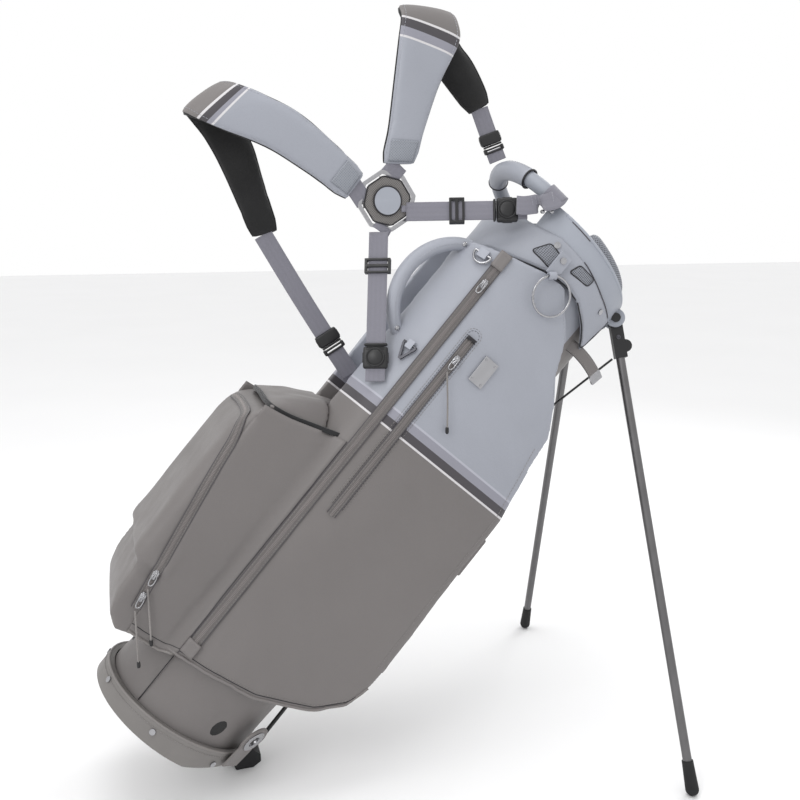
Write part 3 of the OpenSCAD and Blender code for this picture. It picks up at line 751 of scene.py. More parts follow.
def ball_zip():
    """The ball pocket's zip: up the side of the ball pocket, round its top corner and across its back."""
    path = [(ball_x(z), -86, z) for z in range(129, 372, 9)]
    path += [(-201, -81, 385), (-201, -72, 396), (-199, -58, 402), (-198, -30, 404), (-198, 0, 405), (-198, 30, 404),
             (-199, 56, 402)]
    found = [ball_skin.find_nearest(point) for point in resample(catmull(path, 6), 5)]
    line, normals = ease([hit[0] for hit in found], 3), [hit[1] for hit in found]
    for _ in range(3):
        normals = [(normals[max(i - 1, 0)] + n * 2 + normals[min(i + 1, len(normals) - 1)]).normalized()
                   for i, n in enumerate(normals)]
    across = [n.cross(t).normalized() for n, t in zip(normals, tangents(line))]
    zip_run("ball_zip", line, across, normals, 12)


face_zip("long_zip", LONG_ZIP_X, 130, 752, 15, ["zip_tapes"])
face_zip("short_zip", SHORT_ZIP_X, 366, 650, 12)
ball_zip()

GUSSET_LOW = [(-165, 112), (-150, 101), (-128, 99.5), (-96, 100), (-79, 108)]
GUSSET_HIGH = [(-188, 424), (-172, 426), (-152, 429.5), (-120, 438.5), (-79, 450)]


def gusset(side, word):
    """The panel that carries on from the side pocket's face over the ball pocket's side."""
    columns, rows = 30, 64
    wide = columns + 1
    places, reach = [], []
    for i in range(rows + 1):
        back = max(ball_x(100 + 340 * i / rows) + 5.5, -189)
        for x in span(back, -79.3, columns):
            z = interp(GUSSET_LOW, x) + (interp(GUSSET_HIGH, x) - interp(GUSSET_LOW, x)) * i / rows
            hits = [skin.ray_cast(Vector((x, side * 170, z)), Vector((0, -side, 0)))[0]
                    for skin in (ball_skin, pocket_skins[side])]
            places.append((x, z))
            reach.append(max([abs(hit.y) for hit in hits if hit] or [BALL_HALF]))
    level = list(reach)
    for _ in range(10):
        before = list(level)
        for i in range(rows + 1):
            up, down = min(i + 1, rows) * wide, max(i - 1, 0) * wide
            for j in range(1, columns):
                k = i * wide + j
                level[k] = max(reach[k], (before[k - 1] + before[k + 1] + before[up + j] + before[down + j]) / 4)
    verts = [Vector((x, side * (y + 0.8), z)) for (x, z), y in zip(places, level)]
    thicken(add_piece("gusset_" + word, verts, sheet_faces(rows, columns), ["taupe"], "taupe_leather"), 1.4)
    tube("gusset_welt_" + word, shift(verts[:wide], 0, side * 0.2, 0), 1.9, "piping", "taupe_leather")
    edging("gusset_low_seam_" + word, shift(verts[2 * wide:3 * wide], 0, side * 0.8, 0), 0.5)
    edging("gusset_seam_" + word, shift(verts[columns::wide], 0, side * 0.3, 0), 0.6, "dark_band")


for side, word in SIDES:
    gusset(side, word)

# the pouch's black-bound opening, on each side and round its back
half = [(-88, 83.6, 450), (-120, 82.5, 440.5), (-152, 80, 431), (-172, 72, 427), (-182, 50, 426)]
mouth = [(x, -y, z) for x, y, z in half] + [(-185, 0, 428)] + half[::-1]
strap("pouch_binding", catmull(mouth, 10), (-0.25, 0, 0.97), 6.5, 3.2, "webbing_black")
for side, word in SIDES:
    seam = catmull([(-88, side * 76, 484), (-80, side * 82.5, 470), (-76, side * 84, 455), (-77, side * 85, 436)], 8)
    edging("pouch_seam_" + word, seam, 0.7)


def outline(side, pairs, start, stop, off, rise, pitch):
    """A line over the pocket's face that keeps to one of its edges, rise millimetres above it."""
    return resample([on_face(x, interp(pairs, x) + rise, off, side) for x in span(start, stop, 60)], pitch)


for side, word in SIDES:
    skin = pocket_skins[side]
    low = outline(side, POCKET_BOTTOM, -104, 158, -1.0, 3.0, 4)
    front = [Vector((161.3, side * 110.5, z)) for z in range(236, 488, 9)]
    front += [Vector((161.3 - (z - 493) * 0.2, side * (110.8 + (z - 493) * 0.03), z)) for z in range(496, 572, 9)]
    tube("pocket_welt_" + word, settle(skin, low, 0.4), 2.1, "banded", "taupe_leather")
    tube("pocket_front_welt_" + word, settle(skin, resample(front, 4), -0.2), 1.5, "banded", "taupe_leather")
    edging("pocket_bottom_seam_" + word, settle(skin, outline(side, POCKET_BOTTOM, -104, 150, 0.1, 8.5, 4), 0.2), 0.6)
    front = [on_face(148 - max(0, z - 493) * 0.2, z, 0.1, side) for z in range(240, 600, 4)]
    for place, line, key, slot in (
            ("bottom", outline(side, POCKET_BOTTOM, -100, 148, 0.1, 11.5, 3), "thread_taupe", "taupe_leather"),
            ("top", outline(side, POCKET_UPPER, 20, 100, 0.0, -7, 3), "thread_light", "light_leather"),
            ("front", front, "thread_taupe", "taupe_leather")):
        stitches(f"pocket_{place}_stitches_{word}", [settle(skin, line, 0.15)], key, slot)

# stitched outline that carries on above the short zip
for k, half in enumerate((7.6, 10.4)):
    rise = [on_face(SHORT_ZIP_X - half, 380 + 9 * i, 0.2) for i in range(31)]
    crown = [on_face(SHORT_ZIP_X + half * sin(a), 655 + half * cos(a), 0.2)
             for a in span(radians(-80), radians(80), 10)]
    fall = [on_face(SHORT_ZIP_X + half, 650 - 9 * i, 0.2) for i in range(31)]
    line = settle(pocket_skins[-1], resample(rise + crown + fall, 3), 0.12)
    stitches(f"short_zip_outline_{k}", [line], "thread_taupe" if k else "thread_black", radius=0.32)


def end_tab(name, x, places, off, width, thick, key, slot):
    """A tab over a zip's end."""
    strap(name, [on_face(x, z, off) for z in places], face_across(x), width, thick, key, slot)


end_tab("long_zip_end", LONG_ZIP_X, span(741, 765, 6), 1.6, 17, 3.4, "taupe", "taupe_leather")
end_tab("long_zip_foot", LONG_ZIP_X, span(118, 138, 5), 1.2, 19, 3.2, "taupe", "taupe_leather")
tacks = [[on_face(LONG_ZIP_X + d, z, off) for d in (-half, -3, 0, 3, half)]
         for z, off, half in ((744, 3.4, 6.5), (761, 3.4, 6.5), (135, 2.9, 7.5))]
stitches("long_zip_end_stitches", tacks, "thread_taupe")
end_tab("short_zip_end", SHORT_ZIP_X, span(648, 652.5, 3), 1.8, 13, 3.0, "edge", "black_plastic")


def zip_pull(name, slider, along, out):
    """A slider: its body with a nose, the bridge over it and a long loop to pull."""
    points = [TO_BAG @ v.co for v in nodes[slider].data.vertices]
    across = out.cross(along).normalized()
    axes = (across, along, out)
    middle = Vector()
    for axis in axes:
        shares = [p.dot(axis) for p in points]
        middle += axis * ((min(shares) + max(shares)) / 2)
    centre = middle + along * 3
    bm = bmesh.new()
    rounded_box(bm, centre - out * 1.2, (8.4, 11, 3.2), axes, 1.3)
    rounded_box(bm, centre - out * 1.2 + along * 5, (5.6, 5, 2.8), axes, 1.1)
    rounded_box(bm, centre - out * 0.4, (3.4, 12.6, 3), axes, 1.2)
    bridge = [centre + along * (5.4 * cos(t)) + out * (0.6 + 2.4 * sin(t)) for t in span(0, pi, 14)]
    loop = [middle + out * 1.5 + across * (3.3 * sin(t)) + along * (7.4 * copysign(abs(cos(t)) ** 0.7, cos(t)) - 3.2)
            for t in circle(48)]
    for verts, faces in (tube_mesh(bridge, 0.9, 8), tube_mesh(loop, 0.85, 8, closed=True)):
        made = [bm.verts.new(v) for v in verts]
        for face in faces:
            bm.faces.new([made[i] for i in face])
    from_bmesh(name, bm, "silver", "silver_metal", slider, [slider])


UP, RIGHT = Vector((0, 0, 1)), Vector((0, -1, 0))
BALL_UP = Vector((-sin(BALL_TILT), 0, cos(BALL_TILT)))
zip_pull("long_zip_pull", "long_zip_slider", UP, face_out(LONG_ZIP_X))
zip_pull("short_zip_slide", "short_zip_slider", UP, face_out(SHORT_ZIP_X))
zip_pull("ball_zip_slide_upper", "ball_zip_slider_upper", BALL_UP, RIGHT)
zip_pull("ball_zip_slide_lower", "ball_zip_slider_lower", BALL_UP, RIGHT)

# seam down the back of the tube's foot
edging("foot_seam", [(-74 - 0.05 * i, -77.5, 100 - 7 * i) for i in range(11)], 0.7)


# ---------------- cuff

CUFF_X, CUFF_R = 30, 115
COVER_LOW = [(-130, 752.6), (-10, 783.6), (16, 784), (40, 779.5), (68, 764), (98, 742), (108, 782), (112, 800)]
COVER_HIGH = [(-130, 812), (-60, 824), (-25, 830), (20, 823), (66, 810), (112, 800)]
LOBE = [(42, 779), (68, 764.5), (84, 753), (97, 744), (104, 762), (109, 783), (112, 799)]
VENTS = [[(-45, 794), (-33, 815), (-6, 808), (-16, 788)], [(6, 801), (12, 817), (40, 816), (38, 803)]]


def on_cuff(x, z, off, side):
    """A point on the leather collar, off millimetres out from its CAD face."""
    r = CUFF_R + 3 + off
    return Vector((x, side * sqrt(max(0.0, r * r - (x - CUFF_X) ** 2)), z))


def cuff_collar():
    """Leather round the cuff, open at the front between its two lobes."""
    columns, rows = 220, 14
    profile = [(k / rows, True) for k in range(rows + 1)] + [(k / rows, False) for k in range(rows, -1, -1)]
    verts = []
    for angle in span(radians(46.5), radians(313.5), columns):
        x = CUFF_X + CUFF_R * cos(angle)
        low, high = interp(COVER_LOW, x), interp(COVER_HIGH, x)
        for share, outside in profile:
            z = low + (high - low) * share
            rounding = 1.6 * abs(2 * share - 1) ** 8
            r = CUFF_R + (3.6 - rounding + 0.7 * wave((angle * 60, z, 0), 26, 8) if outside else 0.2)
            verts.append((CUFF_X + r * cos(angle), r * sin(angle), z))
    faces = ring_faces(columns + 1, len(profile))
    add_piece("cuff_collar", verts, faces, ["light"], "light_leather", replaces=["cuff_cover"])


def vent(word, side, number, corners):
    """A window of perforated leather with rounded corners and a bound edge."""
    corners = [Vector((x, 0, z)) for x, z in corners]
    loop = []
    for i, a in enumerate(corners):
        p = a + (corners[i - 1] - a).normalized() * 4
        q = a + (corners[(i + 1) % 4] - a).normalized() * 4
        loop += [p.lerp(a, t).lerp(a.lerp(q, t), t) for t in (0.0, 0.33, 0.66, 1.0)]
    loop = [on_cuff(p.x, p.z, 0.9, side) for p in loop]
    centre = sum(corners, Vector()) / 4
    middle = on_cuff(centre.x, centre.z, 1.1, side)
    verts = [*loop, *[p.lerp(middle, 0.5) for p in loop], middle]
    count = len(loop)
    faces = [(i, (i + 1) % count, count + (i + 1) % count, count + i) for i in range(count)]
    faces += [(count + i, count + (i + 1) % count, 2 * count) for i in range(count)]
    thicken(add_piece(f"cuff_vent_{word}_{number}", verts, faces, ["grille_light"], "mesh"), 1.6)
    edging(f"cuff_vent_edge_{word}_{number}", loop, 1.1, sides=8, closed=True)


cuff_collar()
for side, word in SIDES:
    edging("cuff_lobe_edge_" + word, catmull([on_cuff(x, z, 0.4, side) for x, z in LOBE], 8), 1.1, sides=8)
    hem = [on_cuff(x, interp(COVER_LOW, x), -0.2, side) for x in range(-82, 42, 4)]
    edging("cuff_hem_" + word, hem, 0.9)
    sewn = [on_cuff(x, interp(COVER_LOW, x) + 4.5, 0.7, side) for x in range(-80, 96, 4)]
    stitches("cuff_hem_stitches_" + word, [sewn], "thread_light")
    crest = [on_cuff(x, interp(COVER_HIGH, x), -0.2, side) for x in range(14, 110, 4)]
    edging("cuff_crest_" + word, crest, 0.6, "dark_band")
    for number, corners in enumerate(VENTS):
        vent(word, side, number, corners)

RIM = Matrix.Translation((CUFF_X, 0, 850)) @ Matrix.Rotation(radians(9.5), 4, "Y")


def rim_point(angle, radius, height):
    return RIM @ Vector((radius * cos(angle), radius * sin(angle), height))


def rim_arc(first, last, step, radius, height):
    return [rim_point(radians(t), radius, height) for t in range(first, last, step)]


def rim_dome():
    """The padded rim: spacer mesh over foam, thinning to its two ends."""
    columns, sides, reach = 150, 22, 105
    verts, uvs = [], []
    for angle in [radians(t) for t in span(-reach, reach, columns)]:
        end = min(1.0, (reach - abs(degrees(angle))) / 7)
        size = 12.6 * (0.25 + 0.75 * sqrt(max(0.0, 1 - (1 - end) ** 2)))
        for a in circle(sides):
            r = 93.5 + size * 0.96 * copysign(abs(cos(a)) ** 0.9, cos(a))
            verts.append(rim_point(angle, r, 5 + size * 0.98 * sin(a)))
            uvs.append((a * 0.0125, angle * 0.0935))
    piece = add_piece("rim_dome", verts, ring_faces(columns + 1, sides), ["mesh"], "mesh", uvs=uvs,
                      replaces=["rim_pad"])


rim_dome()
tube("rim_piping", rim_arc(-104, 105, 2, 105.5, 1.2), 1.9, "light", "light_leather")


# ---------------- handles

GRIP = Matrix.Translation((-64, -50, 676)) @ Matrix.Rotation(radians(90), 4, "X")
LIFT = Matrix.Translation((-26.6, 0, 862)) @ Matrix.Rotation(radians(8.5), 4, "Y")
GRIP_R, LIFT_R = 84, 85


def arc(matrix, radius, half, steps, height=0.0):
    """A bow of half degrees to each side of -x, in a handle's own frame."""
    return [matrix @ Vector((radius * cos(t), radius * sin(t), height))
            for t in span(pi - radians(half), pi + radians(half), steps)]


def lift_ring(degrees_round, radius, angles):
    """A ring round the lift handle's bar, and the bar's direction there."""
    t = pi + radians(degrees_round)
    along = (LIFT.to_3x3() @ Vector((-sin(t), cos(t), 0))).normalized()
    side = along.orthogonal().normalized()
    up = along.cross(side)
    centre = LIFT @ Vector((LIFT_R * cos(t), LIFT_R * sin(t), 0))
    return [centre + side * radius * cos(a) + up * radius * sin(a) for a in angles], along


grip = arc(GRIP, GRIP_R, 66, 60)
tube("carry_handle_grip", grip, lambda t: 7.4 + 2.6 * sin(pi * t) ** 0.5, "light", "light_leather", sides=20,
     replaces=["carry_handle"])
stitches("carry_handle_stitches", [shift(arc(GRIP, GRIP_R, 60, 60), 0, -9.6, 0)], "thread_light")
for k, share in enumerate((0.06, 0.94)):
    at = grip[round(share * 60)] + Vector((0, -8.0, 0))
    turned(f"carry_handle_rivet_{k}", [(at, RIGHT)], [(3.6, -1), (3.6, 0.4), (2.6, 1.5), (1.0, 1.9)], "silver",
           "silver_metal")
for k, place in enumerate((-36.5, 36.5)):
    edging(f"lift_handle_edge_{k}", lift_ring(place, 12.8, circle(40))[0], 1.4, sides=8, closed=True)
stitches("lift_handle_stitches", [arc(LIFT, LIFT_R - 13.3, 34, 30), arc(LIFT, LIFT_R + 9.5, 34, 30, 9.6)],
         "thread_light")


# ---------------- shoulder harness

PAD_KEYS = ["taupe", "white_line", "dark_band", "pale_band", "light", "lining"]
LOWER_BANDS = [(-500, 0), (32, 1), (34.6, 2), (42.4, 3), (47.6, 1), (50.2, 4)]
UPPER_BANDS = [(-500, 0), (36, 1), (38.6, 2), (49, 3), (59.4, 1), (62, 4)]
LOWER_PAD = [((-262, 733), (-259, 690), -20), ((-322, 736), (-328, 680), -20), ((-375, 733), (-375, 671), -20.5),
             ((-420, 720), (-422, 654), -20), ((-448, 708), (-458, 643), -18), ((-459, 702), (-473, 640), -8),
             ((-462, 699), (-476, 640), 7), ((-459, 698), (-472, 643), 22), ((-446, 696), (-459, 641), 32),
             ((-418, 684), (-434, 634), 35), ((-387, 672), (-408, 624), 34.5), ((-350, 648), (-370, 606), 34),
             ((-293, 609), (-314, 579), 34)]
UPPER_PAD = [((-219, 786), (-253, 756), -20), ((-238, 832), (-280, 800), -20), ((-257, 880), (-312, 848), -20.5),
             ((-267, 918), (-337, 886), -20), ((-276, 946), (-352, 910), -18), ((-290, 962), (-359, 920), -8),
             ((-299, 970), (-358, 926), 7), ((-300, 969), (-352, 928), 22), ((-286, 967), (-335, 925), 32),
             ((-262, 963), (-300, 919), 35), ((-235, 958), (-264, 911), 35), ((-207, 948), (-226, 906), 34),
             ((-180, 936), (-192, 903), 34)]
FOLD = 6
OUTER, INNER, EDGE = 4.9, 3.6, 1.9


def pad_height(share, full):
    """Half of the pad's thickness at a share of its half width."""
    return EDGE + full * max(0.0, 1 - abs(share) ** 2.6) ** 0.6


def shoulder_pad(name, stations, bands, replaces):
    """One padded strip from the hub over the fold to the webbing. A station is its two edges (x, z) and their y."""
    steps = 14
    left = catmull([(a[0], y, a[1]) for a, _, y in stations], steps)
    right = catmull([(b[0], y, b[1]) for _, b, y in stations], steps)
    centre = [(a + b) / 2 for a, b in zip(left, right)]
    gone = [0.0]
    for a, b in zip(centre, centre[1:]):
        gone.append(gone[-1] + (b - a).length)
    count = round(gone[-1] / 2.6)
    lefts, rights, places = [], [], []
    i = 0
    for target in span(0, gone[-1], count):
        while i < len(gone) - 2 and gone[i + 1] < target:
            i += 1
        t = (target - gone[i]) / max(1e-6, gone[i + 1] - gone[i])
        lefts.append(left[i].lerp(left[i + 1], t))
        rights.append(right[i].lerp(right[i + 1], t))
        places.append(target - gone[FOLD * steps])
    middle = [(a + b) / 2 for a, b in zip(lefts, rights)]
    across = [(a - b) / 2 for a, b in zip(lefts, rights)]
    outer = [a.cross(d).normalized() for a, d in zip(across, tangents(middle))]
    shares = [-1, -0.985, -0.93, -0.82, -0.65, -0.42, -0.15, 0.15, 0.42, 0.65, 0.82, 0.93, 0.985, 1]
    verts, picks, uvs = [], [], []
    for k in range(count + 1):
        end = min(1.0, (k + 0.6) / 3, (count - k + 0.6) / 3)
        corner = min(1.0, 0.86 + 0.14 * k / 6, 0.86 + 0.14 * (count - k) / 6)
        for sign, full, row in ((1, OUTER, shares), (-1, INNER, shares[::-1])):
            for share in row:
                lift = sign * end * pad_height(share, full)
                verts.append(middle[k] + across[k] * (share * corner) + outer[k] * lift)
                uvs.append((share * across[k].length / 1000, places[k] / 1000))
    lining = PAD_KEYS.index("lining")
    for place in places[:-1]:
        band = [value for start, value in bands if -place >= start][-1]
        picks += [band] * (len(shares) - 1) + [lining] * (len(shares) + 1)
    picks += [lining, lining]
    piece = add_piece(name, verts, ring_faces(count + 1, 2 * len(shares)), PAD_KEYS, "light_leather", picks=picks,
                      uvs=uvs, replaces=replaces)
    puff(piece, 2.2, 2.4)
    modify(piece, "SUBSURF", levels=1, render_levels=1)
    apply_modifiers(piece)
    skin = surface(piece)
    # stitching a few millimetres in from each edge, and black binding round the lining's edge
    for word, share in (("a", -0.86), ("b", 0.86)):
        lift = pad_height(share, OUTER) + 0.1
        line = [middle[k] + across[k] * share + outer[k] * lift for k in range(6, count - 3, 2)]
        stitches(f"{name}_stitches_{word}", [settle(skin, resample(line, 3), 0.1)], "thread_light", radius=0.32)
    for word, source in (("a", lefts), ("b", rights)):
        line = [source[k] - outer[k] * 2.0 for k in range(0, count + 1, 2)]
        tube(f"{name}_binding_{word}", settle(skin, line, -0.1), 1.3, "lining", "lining")
    return skin


lower_pad = shoulder_pad("lower_shoulder_pad", LOWER_PAD, LOWER_BANDS, ["lower_pad_front", "lower_pad_back"])
upper_pad = shoulder_pad("upper_shoulder_pad", UPPER_PAD, UPPER_BANDS, ["upper_pad_front", "upper_pad_back"])

# each run of webbing: its two ends, and where its buckle starts and stops
LOWER_RUN = (Vector((-306, 34, 592)), Vector((-97, 12, 522)), (151, 182))
UPPER_RUN = (Vector((-187, 34, 920)), Vector((-122, 24, 884)), (34, 62))
BODY_RUN = (Vector((-201, -24, 688)), Vector((-98, -88, 532)), (148, 182))
CUFF_RUN = (Vector((-190, -26, 732)), Vector((-70, -84, 840)), (113, 146))


def run_axes(run):
    """Along, across and out of a run of webbing."""
    along = (run[1] - run[0]).normalized()
    across = (UP - along * UP.dot(along)).normalized()
    return along, across, across.cross(along).normalized()


def run_strap(name, run, sag, replaces, short=0.0):
    """A run of webbing cut by its buckle, hanging a little below the straight line."""
    start, end, gap = run
    along, across, out = run_axes(run)
    total = (end - start).length
    for part, a, b, covers in (("upper", 0, gap[0] + 4, replaces), ("lower", gap[1] - 4, total - short, ())):
        line = [start + along * s + DOWN * (sag * sin(pi * s / total)) for s in span(a, b, 20)]
        strap(f"{name}_{part}", line, across, 25, 2.0, "webbing", replaces=covers)
        for sign, word in ((-1, "a"), (1, "b")):
            sewn = [p + across * (sign * 10.3) + out * 1.15 for p in line[1:-1]]
            stitches(f"{name}_{part}_stitches_{word}", [sewn], "thread_light", pitch=3.6, length=2.4, radius=0.26)


def buckle_boxes(bm, run, axes):
    """The buckle's length, and a function that adds a box at a share of it, moved across and out in millimetres."""
    along, across, out = axes
    first, last = run[2]

    def box(share, sideways, lift, size, radius, segments=3):
        centre = run[0] + along * (first + (last - first) * share) + across * sideways + out * lift
        rounded_box(bm, centre, size, axes, radius, segments)
        return centre
    return last - first, box


def side_release(name, run, width, replaces):
    """A side-release buckle: a hollow body and two prongs with their shoulders showing at its sides."""
    bm = bmesh.new()
    length, box = buckle_boxes(bm, run, run_axes(run))
    box(0.32, 0, 0, (length * 0.56, width, 9), 2.6)
    box(0.32, 0, 4.2, (length * 0.34, width * 0.5, 1.6), 0.6, 2)
    for sign in (-1, 1):
        box(0.34, sign * width * 0.47, 0, (length * 0.36, width * 0.1, 6), 1.2)
        box(0.86, sign * width * 0.42, 0, (length * 0.26, width * 0.14, 6.4), 1.4)
    for share in (0.66, 0.80, 0.96):
        box(share, 0, 0, (length * 0.09, width * 0.9, 5.4), 1.0)
    from_bmesh(name, bm, "black", "black_plastic", replaces=replaces)


def magnetic(name, run, width, replaces):
    """A magnetic buckle: a square body with a turned disc, and a ribbed block on the strap beside it."""
    along, across, out = run_axes(run)
    out *= -copysign(1, out.y)
    bm = bmesh.new()
    length, box = buckle_boxes(bm, run, (along, across, out))
    centre = box(0.56, 0, 0, (length * 0.84, width, 8.5), 3.0, 4)
    box(0.06, 0, 0, (length * 0.10, width * 0.94, 6), 1.6)
    for k in range(3):
        box(0.14 + 0.06 * k, 0, 3.6, (1.3, width * 0.72, 2.6), 0.5, 2)
    for sign in (-1, 1):
        box(0.56, sign * (width * 0.5 - 0.4), 0, (length * 0.4, 2.4, 5.4), 0.9)
    lathe(bm, centre + out * 3.6, out, [(12.4, 0), (12.4, 1.9), (11.8, 2.5), (10.9, 2.5), (10.5, 1.7), (9.9, 1.7),
                                        (9.6, 2.6), (8.6, 3.1), (0.6, 3.3)])
    from_bmesh(name, bm, "black", "black_plastic", replaces=replaces)


run_strap("lower_webbing", LOWER_RUN, 3.0, ["lower_pad_webbing"])
run_strap("upper_webbing", UPPER_RUN, 0.8, ["upper_pad_webbing"])
run_strap("body_strap", BODY_RUN, 0.0, ["body_webbing"])
run_strap("cuff_strap", CUFF_RUN, 0.0, ["cuff_webbing"], short=14)
side_release("lower_buckle", LOWER_RUN, 32, ["pad_buckles"])
side_release("upper_buckle", UPPER_RUN, 30, [])
magnetic("body_buckle", BODY_RUN, 32, ["magnetic_buckles"])
magnetic("cuff_buckle", CUFF_RUN, 32, [])

HUB = (Matrix.Translation((-218, -20, 726)) @ Matrix.Rotation(-LEAN, 4, "Y")
       @ Matrix(((1, 0, 0, 0), (0, 0, -1, 0), (0, 1, 0, 0), (0, 0, 0, 1))))

# short links from the hub's frame to the pads and straps
for name, (u, v), end, width in (("lower_pad", (-30, -2), (-266, -21, 711), 24),
                                 ("upper_pad", (2, 30), (-236, -21, 772), 26),
                                 ("body", (-3, -30), (-199, -23, 690), 24),
                                 ("cuff", (30, -3), (-186, -24, 735), 22)):
    start, end = HUB @ Vector((u, v, 0)), Vector(end)
    line = [start.lerp(end, t) + RIGHT * (1.2 * sin(pi * t)) for t in span(0, 1, 10)]
    strap("hub_link_" + name, line, (end - start).cross(-RIGHT).normalized(), width, 2.2, "webbing")


def pad_patch(name, skin, corners):
    """A stitched patch of perforated leather on a pad's end."""
    base = [Vector((x, -40, z)) for x, z in corners]
    cells = 12
    wide = cells + 1
    grid = []
    for s in span(0, 1, cells):
        for t in span(0, 1, cells):
            p = base[0].lerp(base[1], s).lerp(base[3].lerp(base[2], s), t)
            hit = skin.ray_cast(p, -RIGHT)[0] or Vector((p.x, -26, p.z))
            grid.append(hit + RIGHT * 0.9)
    thicken(add_piece(name, grid, sheet_faces(cells, cells), ["patch"], "mesh"), 1.4)
    low, high = 1, cells - 1
    ring = [i * wide + low for i in range(low, cells)] + [high * wide + j for j in range(low + 1, cells)]
    ring += [i * wide + high for i in range(high - 1, 0, -1)] + [low * wide + j for j in range(high - 1, 0, -1)]
    stitches(name + "_stitches", [shift([grid[k] for k in ring], 0, -0.75, 0)], "thread_light", radius=0.3)


pad_patch("lower_pad_patch", lower_pad, ((-266, 726), (-292, 728), (-291, 693), (-264, 696)))
pad_patch("upper_pad_patch", upper_pad, ((-225, 785), (-236, 810), (-265, 787), (-250, 764)))

# hub details: a dark edge round the eight-sided plate, and the disc's bezel
reach = 29.6 / cos(radians(22.5))
corners = [Vector((reach * cos(a), reach * sin(a), 0)) for a in span(radians(10), radians(370), 8)]
plate = [a.lerp(b, t) for a, b in zip(corners, corners[1:]) for t in (0.08, 0.3, 0.5, 0.7, 0.92)]
disc = [Vector((cos(a), sin(a), 0)) * 18.4 for a in circle(64)]
for name, loop, depth, radius in (("hub_plate_edge", plate, 3.2, 0.9), ("hub_disc_edge", disc, 4.8, 1.1)):
    edging(name, [HUB @ p for p in shift(loop, 0, 0, depth)], radius, sides=8, closed=True)

# the webbing loop that ties the cuff strap to the root of the lift handle
wrap, along = lift_ring(66, 12.4, span(0, tau, 40))
strap("handle_loop", wrap, along, 25, 2.2, "webbing")
rise = catmull([(-97, -84.5, 824), (-88, -87, 831), (-76, -91, 845), (-66, -92.3, 857), (-61.5, -90.6, 867),
                (-59.5, -84, 877)], 8)
last = len(rise) - 1
level = run_axes(CUFF_RUN)[1]
twist = [level.lerp(along, min(1.0, 1.4 * i / last)) for i in range(last + 1)]
strap("handle_strap", rise, twist, 24.5, 2.2, "webbing")
over = (rise[-1] - rise[0]).cross(-RIGHT).normalized()
for k, share in enumerate((0.30, 0.36, 0.66)):
    row = [rise[round(share * last)] + over * s + RIGHT * 1.4 for s in (-10, -5, 0, 5, 10)]
    stitches(f"handle_strap_stitches_{k}", [row], "thread_light", pitch=3.2, length=2.2, radius=0.3)
for k, at in enumerate(((-66, -92.6, 840), (-56, -93, 848))):
    turned(f"handle_strap_rivet_{k}", [(at, RIGHT)], [(2.6, -3), (2.6, 0.3), (1.9, 1.1), (0.5, 1.4)], "silver",
           "silver_metal")


# ---------------- leg strap, cords, legs and base

lashing = catmull([(80, -88, 738), (98, -91.5, 739), (118, -92, 737.5), (136, -90, 734.5), (147, -88.4, 731.5)], 8)
upward = Vector((0.12, 0, 1)).normalized()
strap("leg_strap_leather", lashing, upward, 16.5, 2.8, "taupe", "taupe_leather", ["leg_strap"])
for sign, word in ((-1, "a"), (1, "b")):
    sewn = [p + upward * (sign * 5.8) + RIGHT * 1.5 for p in lashing[2:-2]]
    stitches("leg_strap_stitches_" + word, [sewn], "thread_taupe")
    edging("leg_strap_edge_" + word, [p + upward * (sign * 8.1) for p in lashing[1:-1]], 0.9, sides=8)


def pull_cord(name, start, length, drift, body, node):
    """A zip pull's cord hangs straight down from its slider, with a moulded end."""
    start = Vector(start)
    line = [start + DOWN * (length * t) + RIGHT * (drift * t + 2 * sin(pi * t)) for t in span(0, 1, 24)]
    piece = tube(name, line, 1.15, "thread_taupe", "webbing", body, 10, replaces=[node])
    end = turned(name + "_end", [(line[-1] - DOWN * 7, DOWN)], [(1.4, 0), (2.1, 1), (2.4, 5), (2.1, 8), (0.8, 9)],
                 "black", "black_plastic", body, 16)


pull_cord("short_zip_pull", (-42, -120.4, 597.8), 78, 2.5, "short_zip_slider", "short_zip_cord")
pull_cord("ball_zip_pull_upper", (-159.6, -91, 158.1), 74, 0, "ball_zip_slider_upper", "ball_zip_cord_upper")
pull_cord("ball_zip_pull_lower", (-154.5, -91, 127.1), 74, 0, "ball_zip_slider_lower", "ball_zip_cord_lower")

tube("rim_lip", rim_arc(-126, 127, 2, 114.2, -1.6), 2.3, "moulded_light", "moulded_light", sides=10)
for side, word in SIDES:
    edging("rim_slot_" + word, rim_arc(side * 103, side * 121, side, 114.6, -3.5), 1.2, "dark_band", 8)
for side, word in SIDES:
    leg = (Matrix.Translation((131, side * 59, 816)) @ Matrix.Rotation(radians(side * 24.8), 4, "Z")
           @ Matrix.Rotation(radians(-47), 4, "Y"))
    heads = [(leg @ Vector((0.7, face * 6.3, -27)), leg.to_3x3() @ Vector((0, face, 0))) for face in (-1, 1)]
    turned(f"leg_{word}_screws", heads, [(3.4, 0), (3.4, 0.7), (2.8, 1.2), (1.7, 1.2), (1.6, 0.6), (0.1, 0.55)],
           "dark_steel", "dark_metal", "leg_" + word, 24)

# a row of stitches inside the base tab's edge, and the base cup's piped rim
tab = Matrix.Rotation(radians(-50), 4, "Z") @ Matrix.Translation((116.3, 0, 0)) @ Matrix.Rotation(radians(6), 4, "Y")
row = [tab @ Vector((3.2, 19 * cos(a), 66 + 19 * sin(a))) for a in span(radians(-42), radians(222), 40)]
stitches("base_tab_stitches", [row], "thread_taupe")


def cup_rim(inward, drop):
    """A ring round the top of the base cup, which rises towards the legs."""
    outer, slope = 116.6, tan(radians(3.5))
    r = outer - inward
    return [Vector((r * cos(a), r * sin(a), 24.6 + (outer * cos(a) + 121) * slope - drop)) for a in circle(160)]


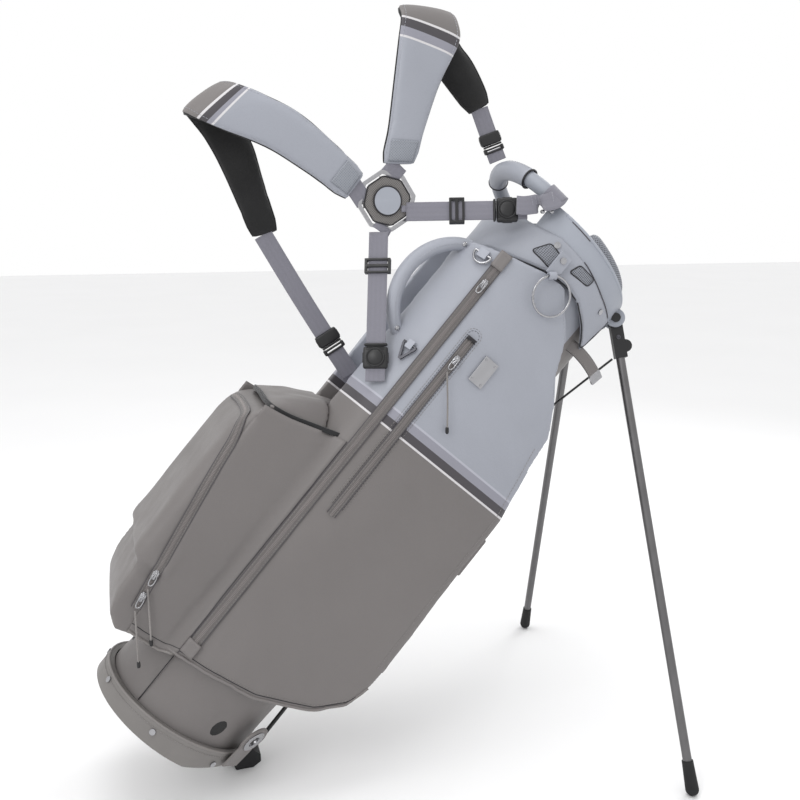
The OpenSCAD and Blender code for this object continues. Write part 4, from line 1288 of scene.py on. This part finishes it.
tube("base_piping", cup_rim(1.8, 0.4), 1.7, "piping", "taupe_leather", closed=True)
stitches("base_stitches", [cup_rim(0, 7)], "thread_taupe")


# ---------------- finishes on the CAD pieces

FINISHES = {
    "moulded_taupe": ["base_cup"], "taupe": ["base_tab", "side_tab"],
    "silver": ["rivets", "towel_ring", "side_d_ring", "eyelet", "hub_frame", "leg_strap_tip"],
    "grille": ["hub_plate"], "disc": ["hub_disc"],
    "light": ["handle_wrap", "ring_tab", "side_ring_tab", "triangle_tab"],
    "moulded_light": ["top_cuff"], "divider": ["top_divider"],
    "black": ["stay_rods", "rod_guide", "hinge_pins", "leg_right_bracket", "leg_left_bracket", "web_adjusters"],
    "rubber": ["leg_right_foot", "leg_left_foot", "kicker_foot"],
    "gunmetal": ["leg_right_tube", "leg_left_tube"], "wire": ["actuator_rod", "push_wire_right", "push_wire_left"],
    "dark_steel": ["triangle_ring"], "brushed": ["name_plate"],
}
EDGES = {
    "base_cup": 1.4, "base_tab": 0.8, "side_tab": 1.2, "hub_frame": 0.9, "leg_strap_tip": 1.0, "hub_plate": 0.6,
    "hub_disc": 0.9, "ring_tab": 0.7, "side_ring_tab": 0.8, "triangle_tab": 0.8, "top_cuff": 1.1, "top_divider": 2.0,
    "rod_guide": 1.0, "leg_right_bracket": 0.9, "leg_left_bracket": 0.9, "web_adjusters": 0.8, "kicker_foot": 1.6,
    "name_plate": 0.4, "triangle_ring": 0.5, "hinge_pins": 0.5, "eyelet": 0.4,
}
for key, names in FINISHES.items():
    for name in names:
        node = nodes[name]
        if not node.material_slots:
            node.data.materials.append(M[key])
        for one in node.material_slots:
            one.material = M[key]
for name, width in EDGES.items():
    modify(nodes[name], "WELD", merge_threshold=0.00001)
    modify(nodes[name], "BEVEL", width=width / 1000, segments=2, limit_method="ANGLE", angle_limit=radians(30),
           harden_normals=False)


# ---------------- floor

floor_mesh = bpy.data.meshes.new("floor")
floor_mesh.from_pydata([(-12, -12, 0), (12, -12, 0), (12, 12, 0), (-12, 12, 0)], [], [(0, 1, 2, 3)])
floor_look = Graph("floor")
floor_look.link(floor_look.shade((0.88, 0.88, 0.885, 1), floor_look.uneven(1.5, 3, 0.985, 1.0)), "Base Color")
floor_mesh.materials.append(floor_look.finish(0.7, 0.03))
floor = add_object("floor", floor_mesh)
